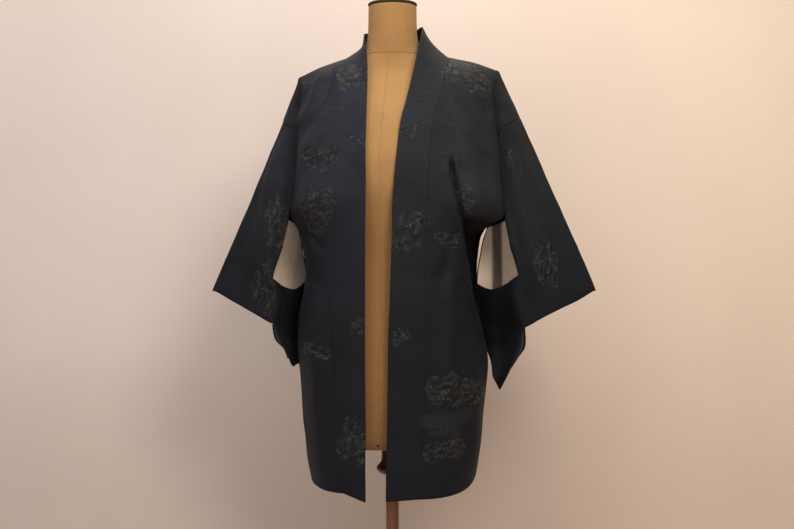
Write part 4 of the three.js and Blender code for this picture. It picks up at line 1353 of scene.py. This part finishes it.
class HAORI_OT_form(bpy.types.Operator):
    """The linen-covered form with its neck cap, knob and a tack."""

    bl_idname = "haori.form"
    bl_label = "Dress form"

    def execute(self, context):
        settings = context.scene.haori_form
        between = column(FORM, FORM_SECTION, "z")[1:-1]
        heights = np.unique(np.concatenate([np.linspace(664, 1486, FORM_RINGS), between]))
        rows = [(660, *(r - 5 for r in form_radii(660)))]
        rows += [(662, *(r - 1.5 for r in form_radii(661)))]
        rows += [(z, *form_radii(z)) for z in heights]
        rows += [(1489, 45.2, 45.7, 42.7), (1490, 43.5, 44, 41)]
        stacked("torso_linen", rows, 96, linen_look(settings), "form_linen", "form_torso")
        lathed("neck_cap_rim", CAP, 96, band_look(), "neck_cap", "form_neck_cap")
        lathed("neck_knob_turned", KNOB, 64, cap_look(), "neck_cap", "form_neck_knob")
        across, up = TACK
        half, front, _ = form_radii(up)
        out = -(front * math.sqrt(1 - (across / half) ** 2) + 0.4)
        deselect()
        place = (across * MM, out * MM, up * MM)
        bpy.ops.mesh.primitive_uv_sphere_add(
            segments=24, ring_count=12, radius=TACK_RADIUS * MM, location=place
        )
        tack = context.object
        tack.name = tack.data.name = "form_tack"
        bpy.ops.transform.resize(value=(1, 0.45, 1))
        bpy.ops.object.transform_apply(location=True, rotation=True, scale=True)
        bpy.ops.object.shade_smooth()
        tack.data.materials.append(bpy.data.materials["neck_braid"])
        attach(tack, "root")
        return {"FINISHED"}


class HAORI_OT_stand(bpy.types.Operator):
    """The turned collar, the pole and the round base."""

    bl_idname = "haori.stand"
    bl_label = "Stand"

    def execute(self, context):
        settings = context.scene.haori_form
        dark = wood_look("dark_wood", settings.turning, [c * 0.4 for c in settings.turning], 0.3)
        pole = wood_look("pole_wood", settings.pole, [c * 0.55 for c in settings.pole], 0.38)
        lathed("turned_collar", TURNING, 64, dark, "dark_wood", "stand_turning")
        lathed("pole_shaft", POLE, 48, pole, "pole_wood", "stand_pole")
        lathed("base_disc", BASE, 128, dark, "dark_wood", "stand_base")
        return {"FINISHED"}


class HAORI_OT_stage(bpy.types.Operator):
    """The pale floor and backdrop, the lights and the camera."""

    bl_idname = "haori.stage"
    bl_label = "Stage"

    def execute(self, context):
        settings = context.scene.haori_stage
        deselect()
        bpy.ops.mesh.primitive_plane_add(size=8, location=(0, -2.4, 0))
        floor = context.object
        floor.name = floor.data.name = "stage_floor"
        bpy.ops.object.transform_apply(location=True)
        deselect()
        bpy.ops.mesh.primitive_plane_add(size=8, location=(0, BACKDROP_Y, 3.9), rotation=UPRIGHT)
        backdrop = context.object
        backdrop.name = backdrop.data.name = "stage_backdrop"
        bpy.ops.object.transform_apply(location=True, rotation=True)
        floor.data.materials.append(stage_look("pale_floor", settings, clear_behind=False))
        backdrop.data.materials.append(stage_look("pale_wall", settings, clear_behind=True))
        for name, place, target, size, tint in LIGHTS:
            data = bpy.data.lights.new(name, "AREA")
            data.energy, data.size, data.color = getattr(settings, name), size, tint
            lamp = bpy.data.objects.new(name, data)
            lamp.location = place
            way = np.array(target) - np.array(place)
            pitch = math.atan2(math.hypot(way[0], way[1]), -way[2])
            lamp.rotation_euler = (pitch, 0, math.atan2(-way[0], way[1]))
            context.scene.collection.objects.link(lamp)
        world = bpy.data.worlds.new("soft_room")
        world.use_nodes = True
        sky = world.node_tree.nodes["Background"].inputs
        sky["Color"].default_value, sky["Strength"].default_value = (1.0, 0.95, 0.90, 1), 0.2
        context.scene.world = world
        data = bpy.data.cameras.new("camera")
        data.lens, data.sensor_width = settings.lens, 36
        camera = bpy.data.objects.new("camera", data)
        camera.location = CAMERA_PLACE
        camera.rotation_euler = UPRIGHT
        context.scene.collection.objects.link(camera)
        context.scene.camera = camera
        context.scene.view_settings.view_transform = "Standard"
        return {"FINISHED"}


OPERATORS = (
    HAORI_OT_stand,
    HAORI_OT_form,
    HAORI_OT_body,
    HAORI_OT_gussets,
    HAORI_OT_collar,
    HAORI_OT_sleeves,
    HAORI_OT_linings,
    HAORI_OT_stage,
)
GROUPS = {"haori_cloth": HaoriCloth, "haori_form": HaoriForm, "haori_stage": HaoriStage}


class HAORI_PT_panel(bpy.types.Panel):
    """Lists the haori's pieces and settings."""

    bl_idname = "HAORI_PT_panel"
    bl_label = "Haori on a dress form"
    bl_space_type = "VIEW_3D"
    bl_region_type = "UI"
    bl_category = "Haori"

    def draw(self, context):
        for group in GROUPS:
            settings = getattr(context.scene, group)
            for name in type(settings).__annotations__:
                self.layout.prop(settings, name)
        for operator in OPERATORS:
            self.layout.operator(operator.bl_idname)


def register():
    for group in (*GROUPS.values(), *OPERATORS, HAORI_PT_panel):
        bpy.utils.register_class(group)
    for name, group in GROUPS.items():
        setattr(bpy.types.Scene, name, bpy.props.PointerProperty(type=group))


def unregister():
    for name in GROUPS:
        delattr(bpy.types.Scene, name)
    for group in reversed((*GROUPS.values(), *OPERATORS, HAORI_PT_panel)):
        bpy.utils.unregister_class(group)


def main():
    register()
    for operator in OPERATORS:
        family, name = operator.bl_idname.split(".")
        getattr(getattr(bpy.ops, family), name)()


if __name__ == "__main__":
    main()
